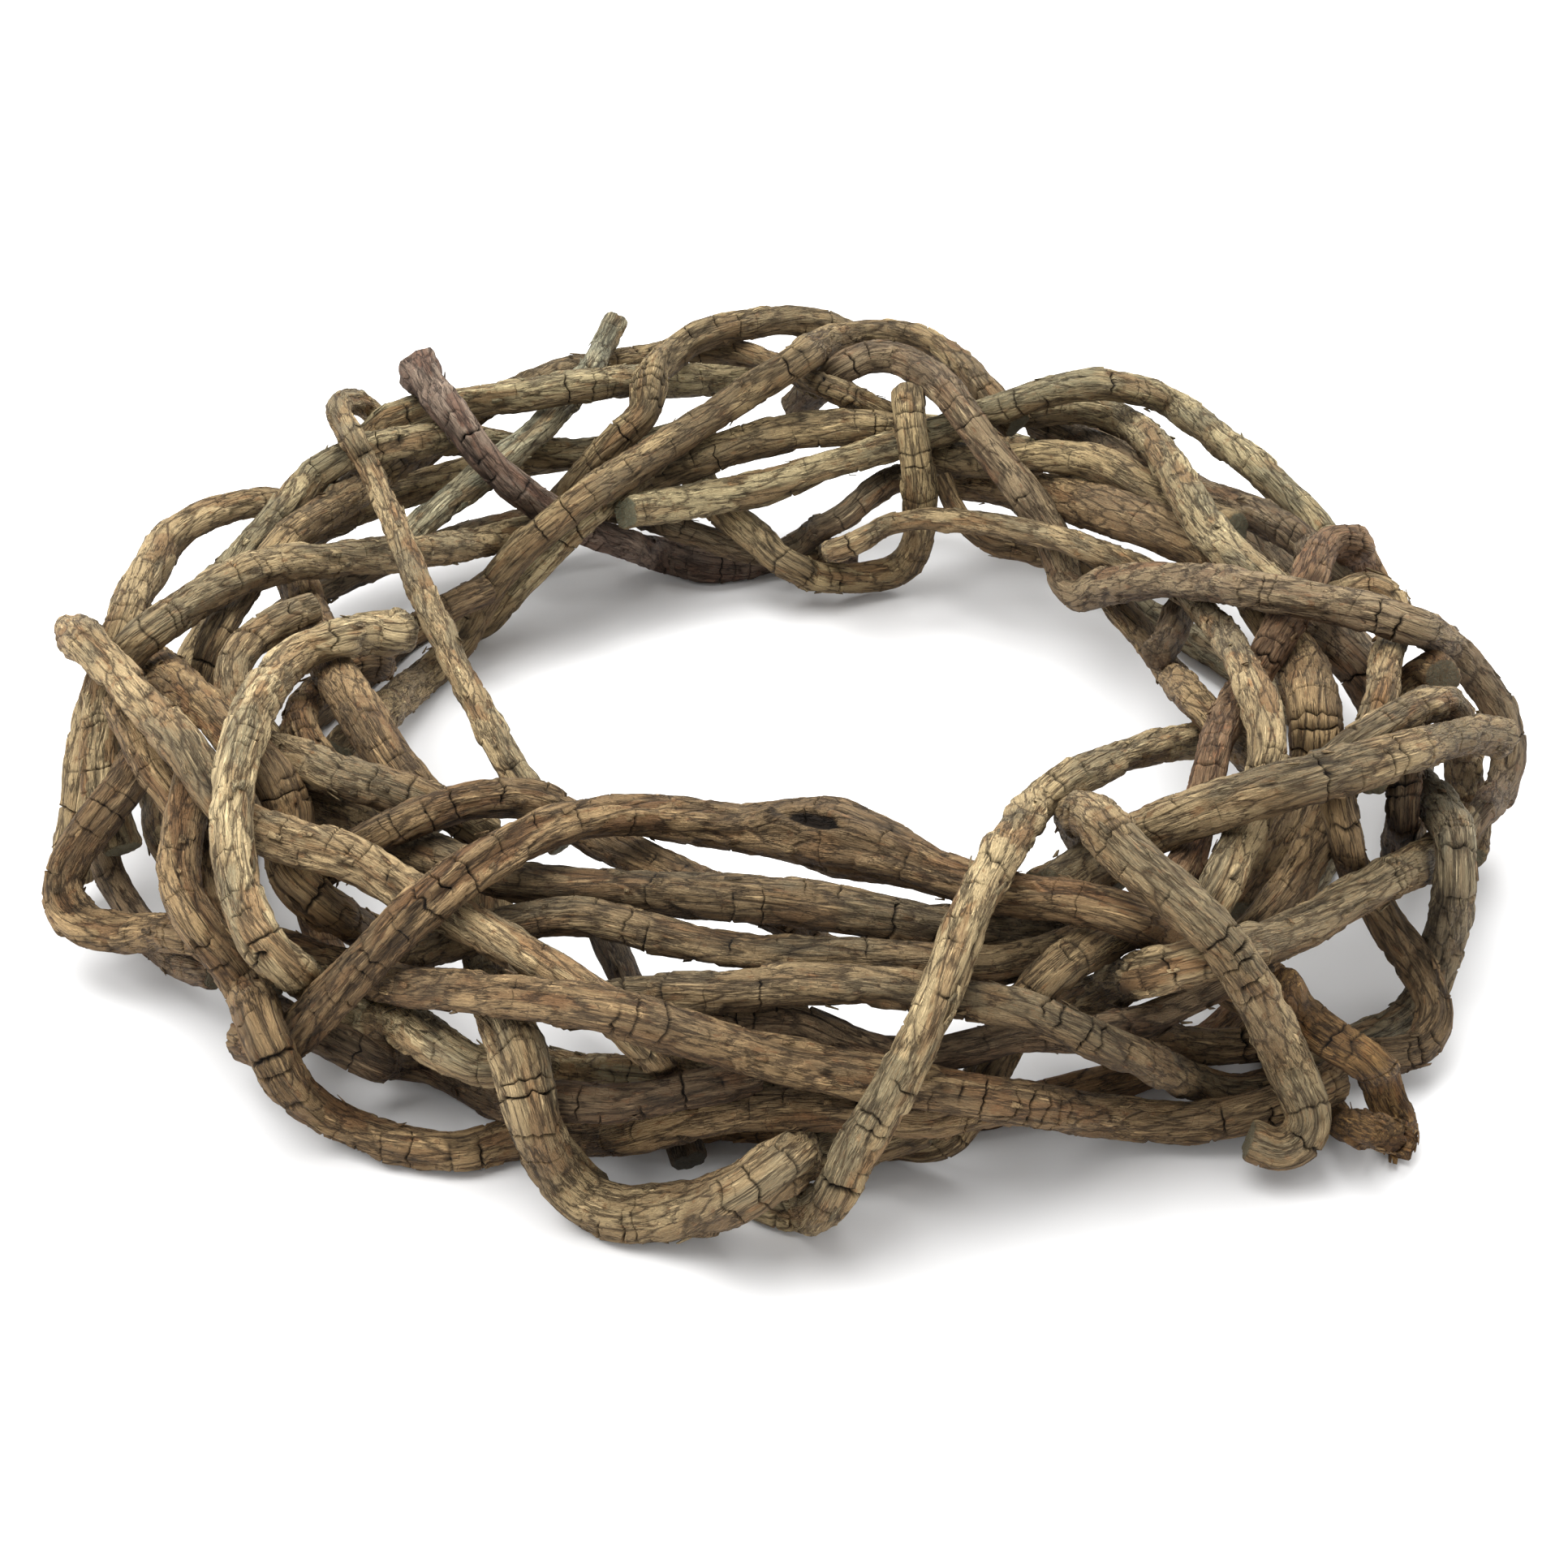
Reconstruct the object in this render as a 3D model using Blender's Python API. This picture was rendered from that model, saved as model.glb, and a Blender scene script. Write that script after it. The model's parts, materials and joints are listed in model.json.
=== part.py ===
"""A rustic wreath wound from woody vines, lying flat on the surface it rests on.

Each vine is one object. Its way through the wreath is a short list of stations in one view of the
wreath, from the front and above: the column and row where the vine is seen, and how many of its own
girths it lies under the wreath's outline there. The outline is a ring with an oval section, so a
station becomes a point in space by formula. Runs that the view doesn't show are given as angle,
radius and height instead. The vines are then eased apart along the lines of sight until none
crosses another, which leaves the view as it was, and each becomes a closed seven-sided tube.
"""

import math
from dataclasses import dataclass

import bmesh
import bpy
import numpy as np
from mathutils.kdtree import KDTree

# The wreath's outline, in metres
RING_RADIUS = 0.185
RING_HALF_WIDTH = 0.052
RING_HEIGHT = 0.086
MOST_HEIGHT = 0.104

# The view that the stations are given in: 1932 pixels wide and high, looking along +Y and down
VIEW_CENTRE = 966.0
VIEW_FOCAL = 3150.0
SIGHT_POINT = np.array([0.0, -0.085, 0.05])
EYE_DISTANCE = 0.80
EYE_ELEVATION = math.radians(31)
FORWARD = np.array([0.0, math.cos(EYE_ELEVATION), -math.sin(EYE_ELEVATION)])
UPWARD = np.array([0.0, math.sin(EYE_ELEVATION), math.cos(EYE_ELEVATION)])
EYE = SIGHT_POINT - EYE_DISTANCE * FORWARD

# The tubes: their sides, how far corners stand outside the girth, how far apart rings stand
SIDES = 7
SECTION_GROWTH = 1.03
SECTION_UNEVEN = 0.04
RING_STEP_LEAST = 0.005
RING_STEP_MOST = 0.023
CHORD_SAG = 0.0009
TIGHTEST_BEND = 1.3
GIRTH_WOBBLE = 0.035
WOBBLE_WAVES = (0.075, 0.041)
END_DOME = 0.35
FOOT_FLAT = 0.0009

# Easing the vines apart: the gap they keep, the steps of the lines, and how stiff a stem is
CLEARANCE = 0.0004
FINE_STEP = 0.006
SAMPLE_STEP = 0.0032
OWN_REACH = 4.2
ORDER_WINDOW = 4
PAIR_KEY = 100000
PUSH = 1.1
DEPTH_STIFFNESS = 30
LEAST_STIFFNESS = 0.3
HELD_WEIGHT = 1e4
SEED = 41


@dataclass(frozen=True)
class Vine:
    """One vine: its girths at both ends, in millimetres, and the points it passes through.

    A station is a column, a row and a depth in girths, or a height in millimetres where heights is set.
    A place is an angle, a radius and a height. A swelling is the station it sits on, how many times
    the girth it has there, and its half length. Flat is a strip's thickness against its width, domed
    is how far the two ends stand out, in radii, and a held vine stays where its points are.
    """

    name: str
    tone: str
    girths: tuple
    stations: tuple = ()
    places_before: tuple = ()
    places_after: tuple = ()
    heights: bool = False
    swelling: tuple = ()
    flat: float = 0.0
    domed: tuple = (END_DOME, END_DOME)
    held: bool = False


# Colour and roughness of each kind of bark
TONES = {
    "khaki": ((0.33, 0.25, 0.16), 0.85),
    "tan": ((0.40, 0.27, 0.15), 0.8),
    "brown": ((0.24, 0.145, 0.085), 0.8),
    "dark": ((0.12, 0.075, 0.05), 0.85),
    "purple": ((0.085, 0.055, 0.05), 0.8),
    "red": ((0.26, 0.12, 0.07), 0.65),
    "grey": ((0.27, 0.24, 0.19), 0.9),
    "gold": ((0.50, 0.33, 0.15), 0.7),
}

FEET = (
    Vine("foot_front", "brown", (11, 10.5), held=True, places_before=(
        (212, 0.176, 0), (226, 0.188, 0), (242, 0.196, 0), (258, 0.199, 0), (274, 0.198, 0),
        (290, 0.201, 0), (306, 0.203, 0), (320, 0.197, 0))),
    Vine("foot_left", "dark", (10.5, 11), held=True, places_before=(
        (96, 0.214, 0.036), (107, 0.208, 0.026), (118, 0.196, 0.011), (129, 0.187, 0), (142, 0.178, 0),
        (157, 0.172, 0), (172, 0.178, 0), (188, 0.184, 0), (203, 0.193, 0), (216, 0.205, 0))),
    Vine("foot_right", "grey", (10.5, 10.5), held=True, places_before=(
        (-45, 0.182, 0), (-31, 0.181, 0), (-17, 0.188, 0), (-2, 0.193, 0), (14, 0.190, 0),
        (30, 0.183, 0), (43, 0.188, 0), (54, 0.198, 0.012), (66, 0.212, 0.026), (78, 0.218, 0.036))),
)

FRONT = (
    Vine("left_hook", "khaki", (12.5, 11.5), (
        (425, 802, 1.8), (460, 798, 1.4), (483, 793, .5), (478, 786, -.3), (440, 783, -.5), (400, 790, -.4),
        (370, 802, -.3), (345, 825, -.3), (325, 850, -.3), (308, 885, -.3), (300, 920, -.3),
        (290, 960, -.3), (285, 1000, -.3), (287, 1040, -.3), (292, 1080, -.2), (298, 1110, -.1),
        (312, 1145, 0), (335, 1175, .2), (360, 1205, .5), (388, 1230, 1.1), (430, 1250, 1.6),
        (480, 1262, 1.3), (530, 1285, .9), (580, 1308, .8), (620, 1320, .9), (690, 1322, .9),
        (750, 1325, 1.2), (810, 1328, 1.9), (880, 1332, 2.2), (950, 1340, 2.4))),
    Vine("front_bow", "brown", (13, 13), (
        (308, 1296, 1.5), (322, 1297, 1.2), (350, 1283, .7), (400, 1235, 0), (450, 1185, -.3),
        (500, 1135, -.5), (560, 1085, -.5), (620, 1045, -.4), (680, 1020, -.3), (740, 1008, -.2),
        (800, 1008, 0), (860, 1015, 0), (920, 1022, 0), (1000, 1025, 0), (1060, 1040, 0),
        (1110, 1058, .2), (1160, 1078, .5), (1210, 1095, .8), (1260, 1105, .6), (1310, 1110, .4),
        (1360, 1120, .4), (1410, 1140, .5), (1460, 1170, .8), (1500, 1200, 1), (1540, 1225, 1.5)),
        swelling=(13, 1.5, 0.014)),
    Vine("right_cross", "khaki", (10.5, 12.5), (
        (1570, 880, 2.5), (1520, 898, 1.5), (1475, 912, .8), (1420, 922, .3), (1360, 942, 0),
        (1310, 968, -.2), (1265, 1008, -.4), (1235, 1050, -.5), (1208, 1095, -.7), (1188, 1145, -.8),
        (1168, 1195, -.8), (1148, 1245, -.9), (1125, 1295, -.9), (1100, 1340, -.9), (1075, 1380, -.8),
        (1050, 1420, -.7), (1022, 1460, -.5), (990, 1500, -.2), (950, 1518, .3), (905, 1510, .9))),
    Vine("left_rise", "brown", (13, 11.3), (
        (240, 958, .3), (230, 1000, 0), (222, 1050, -.2), (225, 1100, -.3), (248, 1145, -.3),
        (280, 1185, -.3), (308, 1225, -.3), (322, 1270, -.3), (340, 1315, -.2), (375, 1355, 0),
        (425, 1393, 0), (480, 1418, 0), (540, 1432, 0), (600, 1430, .3), (650, 1420, .8),
        (710, 1408, .8), (770, 1392, .3), (840, 1377, .3), (920, 1368, .3), (1000, 1368, .4),
        (1060, 1372, .6), (1120, 1378, .6), (1180, 1375, 1), (1230, 1360, 1.6))),
    Vine("outer_left_loop", "brown", (13, 11.8), (
        (175, 930, 1.5), (150, 975, .6), (120, 1010, .2), (92, 1050, 0), (76, 1092, 0), (88, 1130, 0),
        (125, 1150, 0), (175, 1150, .2), (220, 1150, .8), (280, 1160, 1.4), (340, 1172, 1.2),
        (400, 1190, .8), (450, 1205, .8), (500, 1215, .3), (560, 1222, 0), (640, 1230, 0),
        (700, 1235, 0), (760, 1248, 0), (820, 1265, 0), (880, 1282, 0), (950, 1302, 0),
        (1020, 1318, 0), (1080, 1330, .1), (1140, 1340, .1), (1200, 1350, 0), (1260, 1360, 0),
        (1330, 1372, 0), (1400, 1378, 0), (1470, 1382, 0), (1540, 1380, .2), (1600, 1370, .7),
        (1640, 1350, 1))),
    Vine("front_u", "khaki", (13.9, 14.7), (
        (600, 1120, 2.5), (597, 1160, 1.8), (605, 1205, 1.5), (620, 1255, .8), (640, 1305, 0),
        (655, 1355, -.5), (670, 1405, -.7), (695, 1450, -.8), (735, 1488, -.8), (785, 1510, -.8),
        (835, 1508, -.7), (885, 1492, -.5), (935, 1468, -.2), (985, 1440, .2), (1030, 1418, .8),
        (1080, 1400, 1.5), (1130, 1385, 2.2))),
    Vine("left_slant", "khaki", (12.5, 12), (
        (90, 778, -.3), (130, 815, -.5), (170, 858, -.5), (210, 900, -.5), (245, 945, -.2),
        (275, 990, .8), (310, 1020, .9), (350, 1035, .5), (400, 1045, .2), (450, 1068, .2),
        (500, 1098, .5), (545, 1120, .6), (590, 1142, .3), (640, 1172, .2), (700, 1208, .4),
        (750, 1240, .9), (800, 1280, 1.4), (860, 1310, 1.4), (930, 1330, 1.4), (1000, 1345, 1.5),
        (1060, 1350, 1.6))),
    Vine("inner_arc", "brown", (13, 9), (
        (380, 1090, 2), (420, 1058, 1.2), (470, 1028, .5), (520, 1005, .2), (580, 988, 0),
        (640, 985, 0), (690, 1003, .2), (735, 1030, .8), (780, 1052, .9), (830, 1078, 1),
        (880, 1100, 1.2), (940, 1115, 1.5)),
        places_after=((276, 0.158, 0.034), (290, 0.157, 0.028), (304, 0.160, 0.026))),
    Vine("front_rail_top", "khaki", (12.9, 12.9), (
        (350, 975, 2), (400, 995, 1.6), (460, 1020, 1.3), (520, 1050, .9), (580, 1072, .9),
        (640, 1088, .3), (700, 1090, 0), (780, 1095, 0), (860, 1102, 0), (940, 1108, 0),
        (1000, 1115, 0), (1060, 1125, 0), (1120, 1138, .1), (1170, 1148, .2), (1230, 1155, .8),
        (1290, 1155, 1), (1350, 1145, 1.3))),
    Vine("front_rail_low", "khaki", (11.5, 11.5), (
        (420, 1210, 2), (500, 1180, 1.2), (560, 1160, 1.2), (620, 1140, .9), (680, 1130, .7),
        (740, 1132, .6), (800, 1148, .5), (870, 1165, .3), (940, 1175, .3), (1010, 1178, .3),
        (1080, 1182, .3), (1140, 1188, .4), (1200, 1192, .4), (1250, 1188, .5), (1310, 1168, .8),
        (1370, 1145, 1.2), (1430, 1125, 1.6))),
    Vine("front_rail_mid", "khaki", (11, 11), (
        (700, 1245, 1.6), (760, 1235, 1.2), (800, 1238, .7), (860, 1228, .5), (930, 1222, .4),
        (1000, 1215, .3), (1060, 1213, .2), (1110, 1220, .2), (1160, 1228, .2), (1210, 1232, .2),
        (1260, 1243, .2), (1310, 1262, .2), (1360, 1285, .2), (1420, 1312, .3), (1480, 1335, .4),
        (1540, 1348, .6), (1600, 1352, 1.2), (1650, 1350, 1.8))),
    Vine("front_under", "dark", (10, 10), (
        (820, 1255, 1), (880, 1262, .9), (940, 1265, .9), (1000, 1262, 1.1), (1050, 1285, 1),
        (1100, 1298, .9), (1160, 1300, .8), (1210, 1285, .7), (1270, 1272, .8), (1340, 1275, 1),
        (1400, 1250, .9), (1450, 1235, .9), (1500, 1215, 1), (1550, 1190, 1.5))),
    Vine("front_riser", "khaki", (12, 12), (
        (1020, 1460, 1.6), (1070, 1440, 1.2), (1120, 1425, 1.1), (1165, 1400, 1.1), (1200, 1355, 1),
        (1225, 1300, .8), (1255, 1250, .6), (1290, 1208, .2), (1330, 1180, .1), (1375, 1156, .5),
        (1420, 1136, 1.3), (1460, 1112, 2.2))),
    Vine("front_low_left", "dark", (10.5, 10.5), (
        (330, 1230, 2), (370, 1255, 1.3), (400, 1275, .9), (450, 1292, .6), (520, 1312, .6),
        (580, 1328, .6), (640, 1345, .9), (700, 1350, .5), (760, 1355, .5), (810, 1345, .7),
        (870, 1335, 1), (930, 1325, 1.4))),
    Vine("bottom_cross", "dark", (10.5, 10.5), (
        (745, 1145, 30), (775, 1210, 18), (805, 1290, 10), (835, 1380, 8), (850, 1425, 7)),
        heights=True),
)

LEFT = (
    Vine("left_low_outer", "dark", (10.5, 10), (
        (120, 1020, 1.5), (130, 1065, 1), (155, 1110, 1), (185, 1155, 1), (225, 1188, .9),
        (265, 1200, 1.1))),
    Vine("left_inner_slant", "brown", (11, 11), (
        (150, 870, 1), (165, 905, .3), (185, 945, .2), (210, 980, .3), (235, 1010, .8),
        (250, 1040, 1.2), (258, 1100, .9), (285, 1150, .6), (325, 1185, .5), (345, 1230, .9))),
    Vine("left_outer_arch", "khaki", (10, 14), (
        (400, 640, 1.6), (345, 618, .9), (300, 622, .5), (255, 635, .2), (215, 660, 0), (188, 700, 0),
        (165, 740, 0), (150, 780, .2), (135, 820, .8), (122, 870, .5), (112, 920, .2), (105, 970, .1),
        (100, 1015, .6), (95, 1050, 1.4), (92, 1075, 2))),
    Vine("left_long", "khaki", (13.8, 11.8), (
        (150, 1040, 1.6), (130, 985, .8), (125, 930, .6), (128, 880, .7), (140, 835, .9),
        (160, 805, .5), (200, 770, 0), (250, 735, -.1), (300, 710, -.2), (360, 692, -.2),
        (420, 688, -.2), (480, 682, -.1), (540, 678, 0), (600, 668, .1), (650, 655, .4),
        (700, 640, .9), (760, 610, 1.3))),
    Vine("left_band", "tan", (13, 13.5), (
        (150, 790, 1.6), (190, 815, .8), (225, 845, .5), (260, 878, .5), (295, 915, 1),
        (330, 950, .8), (350, 990, .4), (355, 1025, .4), (350, 1060, .9), (370, 1095, 1.2),
        (420, 1130, 1.3), (470, 1160, 1.3))),
    Vine("left_inner_curl", "khaki", (11.5, 11.5), (
        (330, 920, 1.5), (310, 900, 1.5), (295, 870, 1), (288, 840, .4), (300, 805, .2),
        (330, 778, .3), (362, 760, 1), (385, 752, 1.8))),
    Vine("left_top_thick", "brown", (10.5, 14.5), (
        (245, 850, 1.3), (255, 815, .9), (270, 780, .8), (292, 745, .9), (318, 705, 1), (350, 665, .6),
        (385, 640, .4), (420, 615, .4), (455, 590, .6), (490, 565, .9), (525, 545, 1.4), (560, 528, 2))),
    Vine("left_inner_low", "brown", (11, 11), (
        (600, 730, 1.2), (550, 752, .7), (505, 780, .6), (460, 808, 1), (420, 830, 1.3),
        (380, 860, 1.5), (370, 900, 1), (385, 930, .9), (420, 965, 1.2))),
    Vine("left_inner_thick", "brown", (14.6, 14), (
        (345, 670, 1.8), (365, 715, 1.2), (380, 755, .9), (395, 800, .9), (420, 845, .5),
        (450, 890, .4), (480, 935, .4), (510, 975, .6), (540, 1010, 1.2))),
    Vine("left_low_rail", "khaki", (12.5, 12.5), (
        (330, 925, 1.5), (365, 935, .9), (410, 955, .6), (460, 970, .5), (510, 985, .5),
        (555, 1005, .9), (600, 1030, 1.3))),
    Vine("hanging_diag", "khaki", (10, 9), (
        (480, 540, 70), (465, 515, 84), (440, 496, 93), (418, 500, 96), (432, 535, 94),
        (462, 590, 90), (485, 640, 88), (505, 690, 86), (525, 740, 84), (550, 790, 82),
        (580, 850, 80), (610, 910, 80), (640, 962, 78), (665, 1000, 70), (690, 1040, 60)),
        heights=True),
)

BACK = (
    Vine("left_back_arch", "khaki", (12, 12), (
        (270, 720, 1.5), (300, 680, .9), (330, 650, .6), (360, 615, .3), (390, 585, .2),
        (430, 560, .2), (480, 545, .3), (540, 540, .3), (600, 545, .5), (650, 555, .8),
        (700, 560, 1), (760, 555, 1.1), (820, 543, 1.3), (870, 530, 1.8))),
    Vine("back_upper_rail", "khaki", (13, 13), (
        (400, 600, 1.6), (440, 560, 1.2), (480, 520, .6), (520, 503, .4), (570, 497, .4),
        (640, 488, .2), (700, 478, .1), (760, 470, .1), (820, 468, .3), (880, 465, .6),
        (940, 460, .9), (1000, 455, 1.2)),
        places_after=((80, 0.222, 0.046), (66, 0.222, 0.040), (52, 0.220, 0.040), (38, 0.216, 0.044))),
    Vine("back_outline", "brown", (11, 11), (
        (600, 500, 1.4), (650, 475, .9), (700, 455, .6), (760, 445, .5), (820, 435, .5),
        (880, 432, .6), (930, 440, .5), (970, 450, .7), (1010, 470, .9), (1050, 490, .7),
        (1090, 510, .8), (1130, 525, 1.4)),
        places_before=((214, 0.214, 0.030), (200, 0.214, 0.026), (186, 0.212, 0.028), (172, 0.212, 0.032),
                       (158, 0.218, 0.034), (144, 0.222, 0.036), (131, 0.226, 0.044))),
    Vine("back_stick", "grey", (11, 11), (
        (758, 398, .2), (742, 430, .2), (722, 465, .4), (695, 500, .4), (665, 530, .3),
        (635, 555, .8), (600, 585, .9), (555, 615, .9), (520, 645, 1.1), (492, 672, 1.8))),
    Vine("dark_knob", "purple", (13, 13), (
        (520, 456, -.2), (533, 478, -.4), (552, 505, -.5),
        (580, 545, -.5), (612, 582, -.4), (650, 612, -.2), (690, 640, .6), (730, 655, .6),
        (780, 672, .1), (840, 690, 0), (900, 698, 0), (950, 708, .3), (1000, 722, .7),
        (1050, 728, .9)), swelling=(0, 1.3, 0.009)),
    Vine("great_sweep", "brown", (12.5, 14.3), (
        (1250, 520, 1.4), (1222, 492, .7), (1185, 450, .2), (1135, 420, 0), (1075, 412, 0),
        (1010, 430, -.1), (955, 460, -.2), (900, 497, -.3), (840, 537, -.3), (780, 577, -.3),
        (720, 617, -.3), (665, 660, -.2), (620, 705, 0), (590, 745, .1), (565, 790, .3),
        (525, 830, .6), (485, 865, .6), (450, 900, .9), (420, 930, 1.3))),
    Vine("sweep_partner", "khaki", (12, 12), (
        (790, 580, 1.2), (730, 630, .5), (680, 675, .3), (638, 718, .4), (605, 758, .8),
        (582, 792, 1.3), (565, 825, 1.9))),
    Vine("back_knotted", "brown", (12, 12), (
        (660, 650, 1.2), (690, 615, .4), (720, 582, 0), (752, 548, -.1), (785, 520, -.2),
        (800, 495, -.2), (800, 468, -.2), (825, 440, -.1), (865, 413, 0), (920, 400, 0),
        (975, 395, 0), (1025, 402, .3), (1065, 420, .8), (1110, 440, 1.2)),
        swelling=(6, 1.35, 0.010)),
    Vine("back_right_arch", "khaki", (12.7, 11.4), (
        (775, 632, .2), (830, 622, .1), (890, 610, 0), (940, 600, -.1), (1000, 580, 0),
        (1050, 567, .1), (1100, 550, .4), (1150, 535, .9), (1190, 520, .8), (1230, 505, .4),
        (1290, 485, .1), (1350, 475, 0), (1410, 485, 0), (1460, 508, 0), (1510, 545, 0),
        (1555, 582, 0), (1595, 620, .1), (1625, 650, .6), (1655, 690, 1.2)),
        swelling=(3, 1.2, 0.010)),
    Vine("stub_loop", "brown", (13, 13), (
        (1118, 488, 0), (1122, 530, -.2), (1130, 580, -.1), (1133, 625, .4), (1130, 668, .6),
        (1105, 700, .2), (1065, 718, 0), (1020, 715, 0), (975, 695, 0), (935, 665, .1),
        (900, 635, .4), (870, 605, .9), (850, 575, 1.4))),
    Vine("thin_cross", "khaki", (8.5, 11.5), (
        (990, 703, 1.4), (1035, 680, .1), (1075, 655, -.4), (1120, 640, -.9),
        (1170, 640, -.6), (1230, 648, -.3), (1290, 660, -.3), (1340, 675, -.3), (1385, 692, 0),
        (1430, 712, .6), (1475, 745, .4), (1510, 785, .1), (1535, 830, 0), (1555, 880, 0),
        (1562, 930, .3), (1555, 965, .9), (1545, 1000, .8), (1520, 1055, .4), (1500, 1100, .6),
        (1470, 1150, 1.3))),
    Vine("back_low_cross", "dark", (10.6, 10.6), (
        (1100, 590, 1.6), (1075, 605, .9), (1045, 632, .6), (1005, 658, .6), (965, 680, .9),
        (920, 700, 1.3)),
        places_before=((28, 0.214, 0.018), (44, 0.218, 0.020), (60, 0.215, 0.022)),
        places_after=((114, 0.190, 0.024), (127, 0.200, 0.022), (141, 0.205, 0.020), (155, 0.207, 0.022))),
    Vine("back_mid_rail", "brown", (14, 12.3), (
        (760, 605, 1.4), (810, 585, .9), (870, 562, .6), (930, 542, .5), (990, 530, .4),
        (1050, 525, .4), (1100, 530, .6), (1150, 560, .8), (1220, 570, .5), (1280, 563, .2),
        (1330, 565, .2), (1375, 582, .2), (1420, 605, .3), (1470, 630, .8), (1520, 650, 1.2)),
        places_before=((152, 0.206, 0.050), (138, 0.212, 0.044), (126, 0.214, 0.040), (114, 0.212, 0.040))),
)

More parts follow.
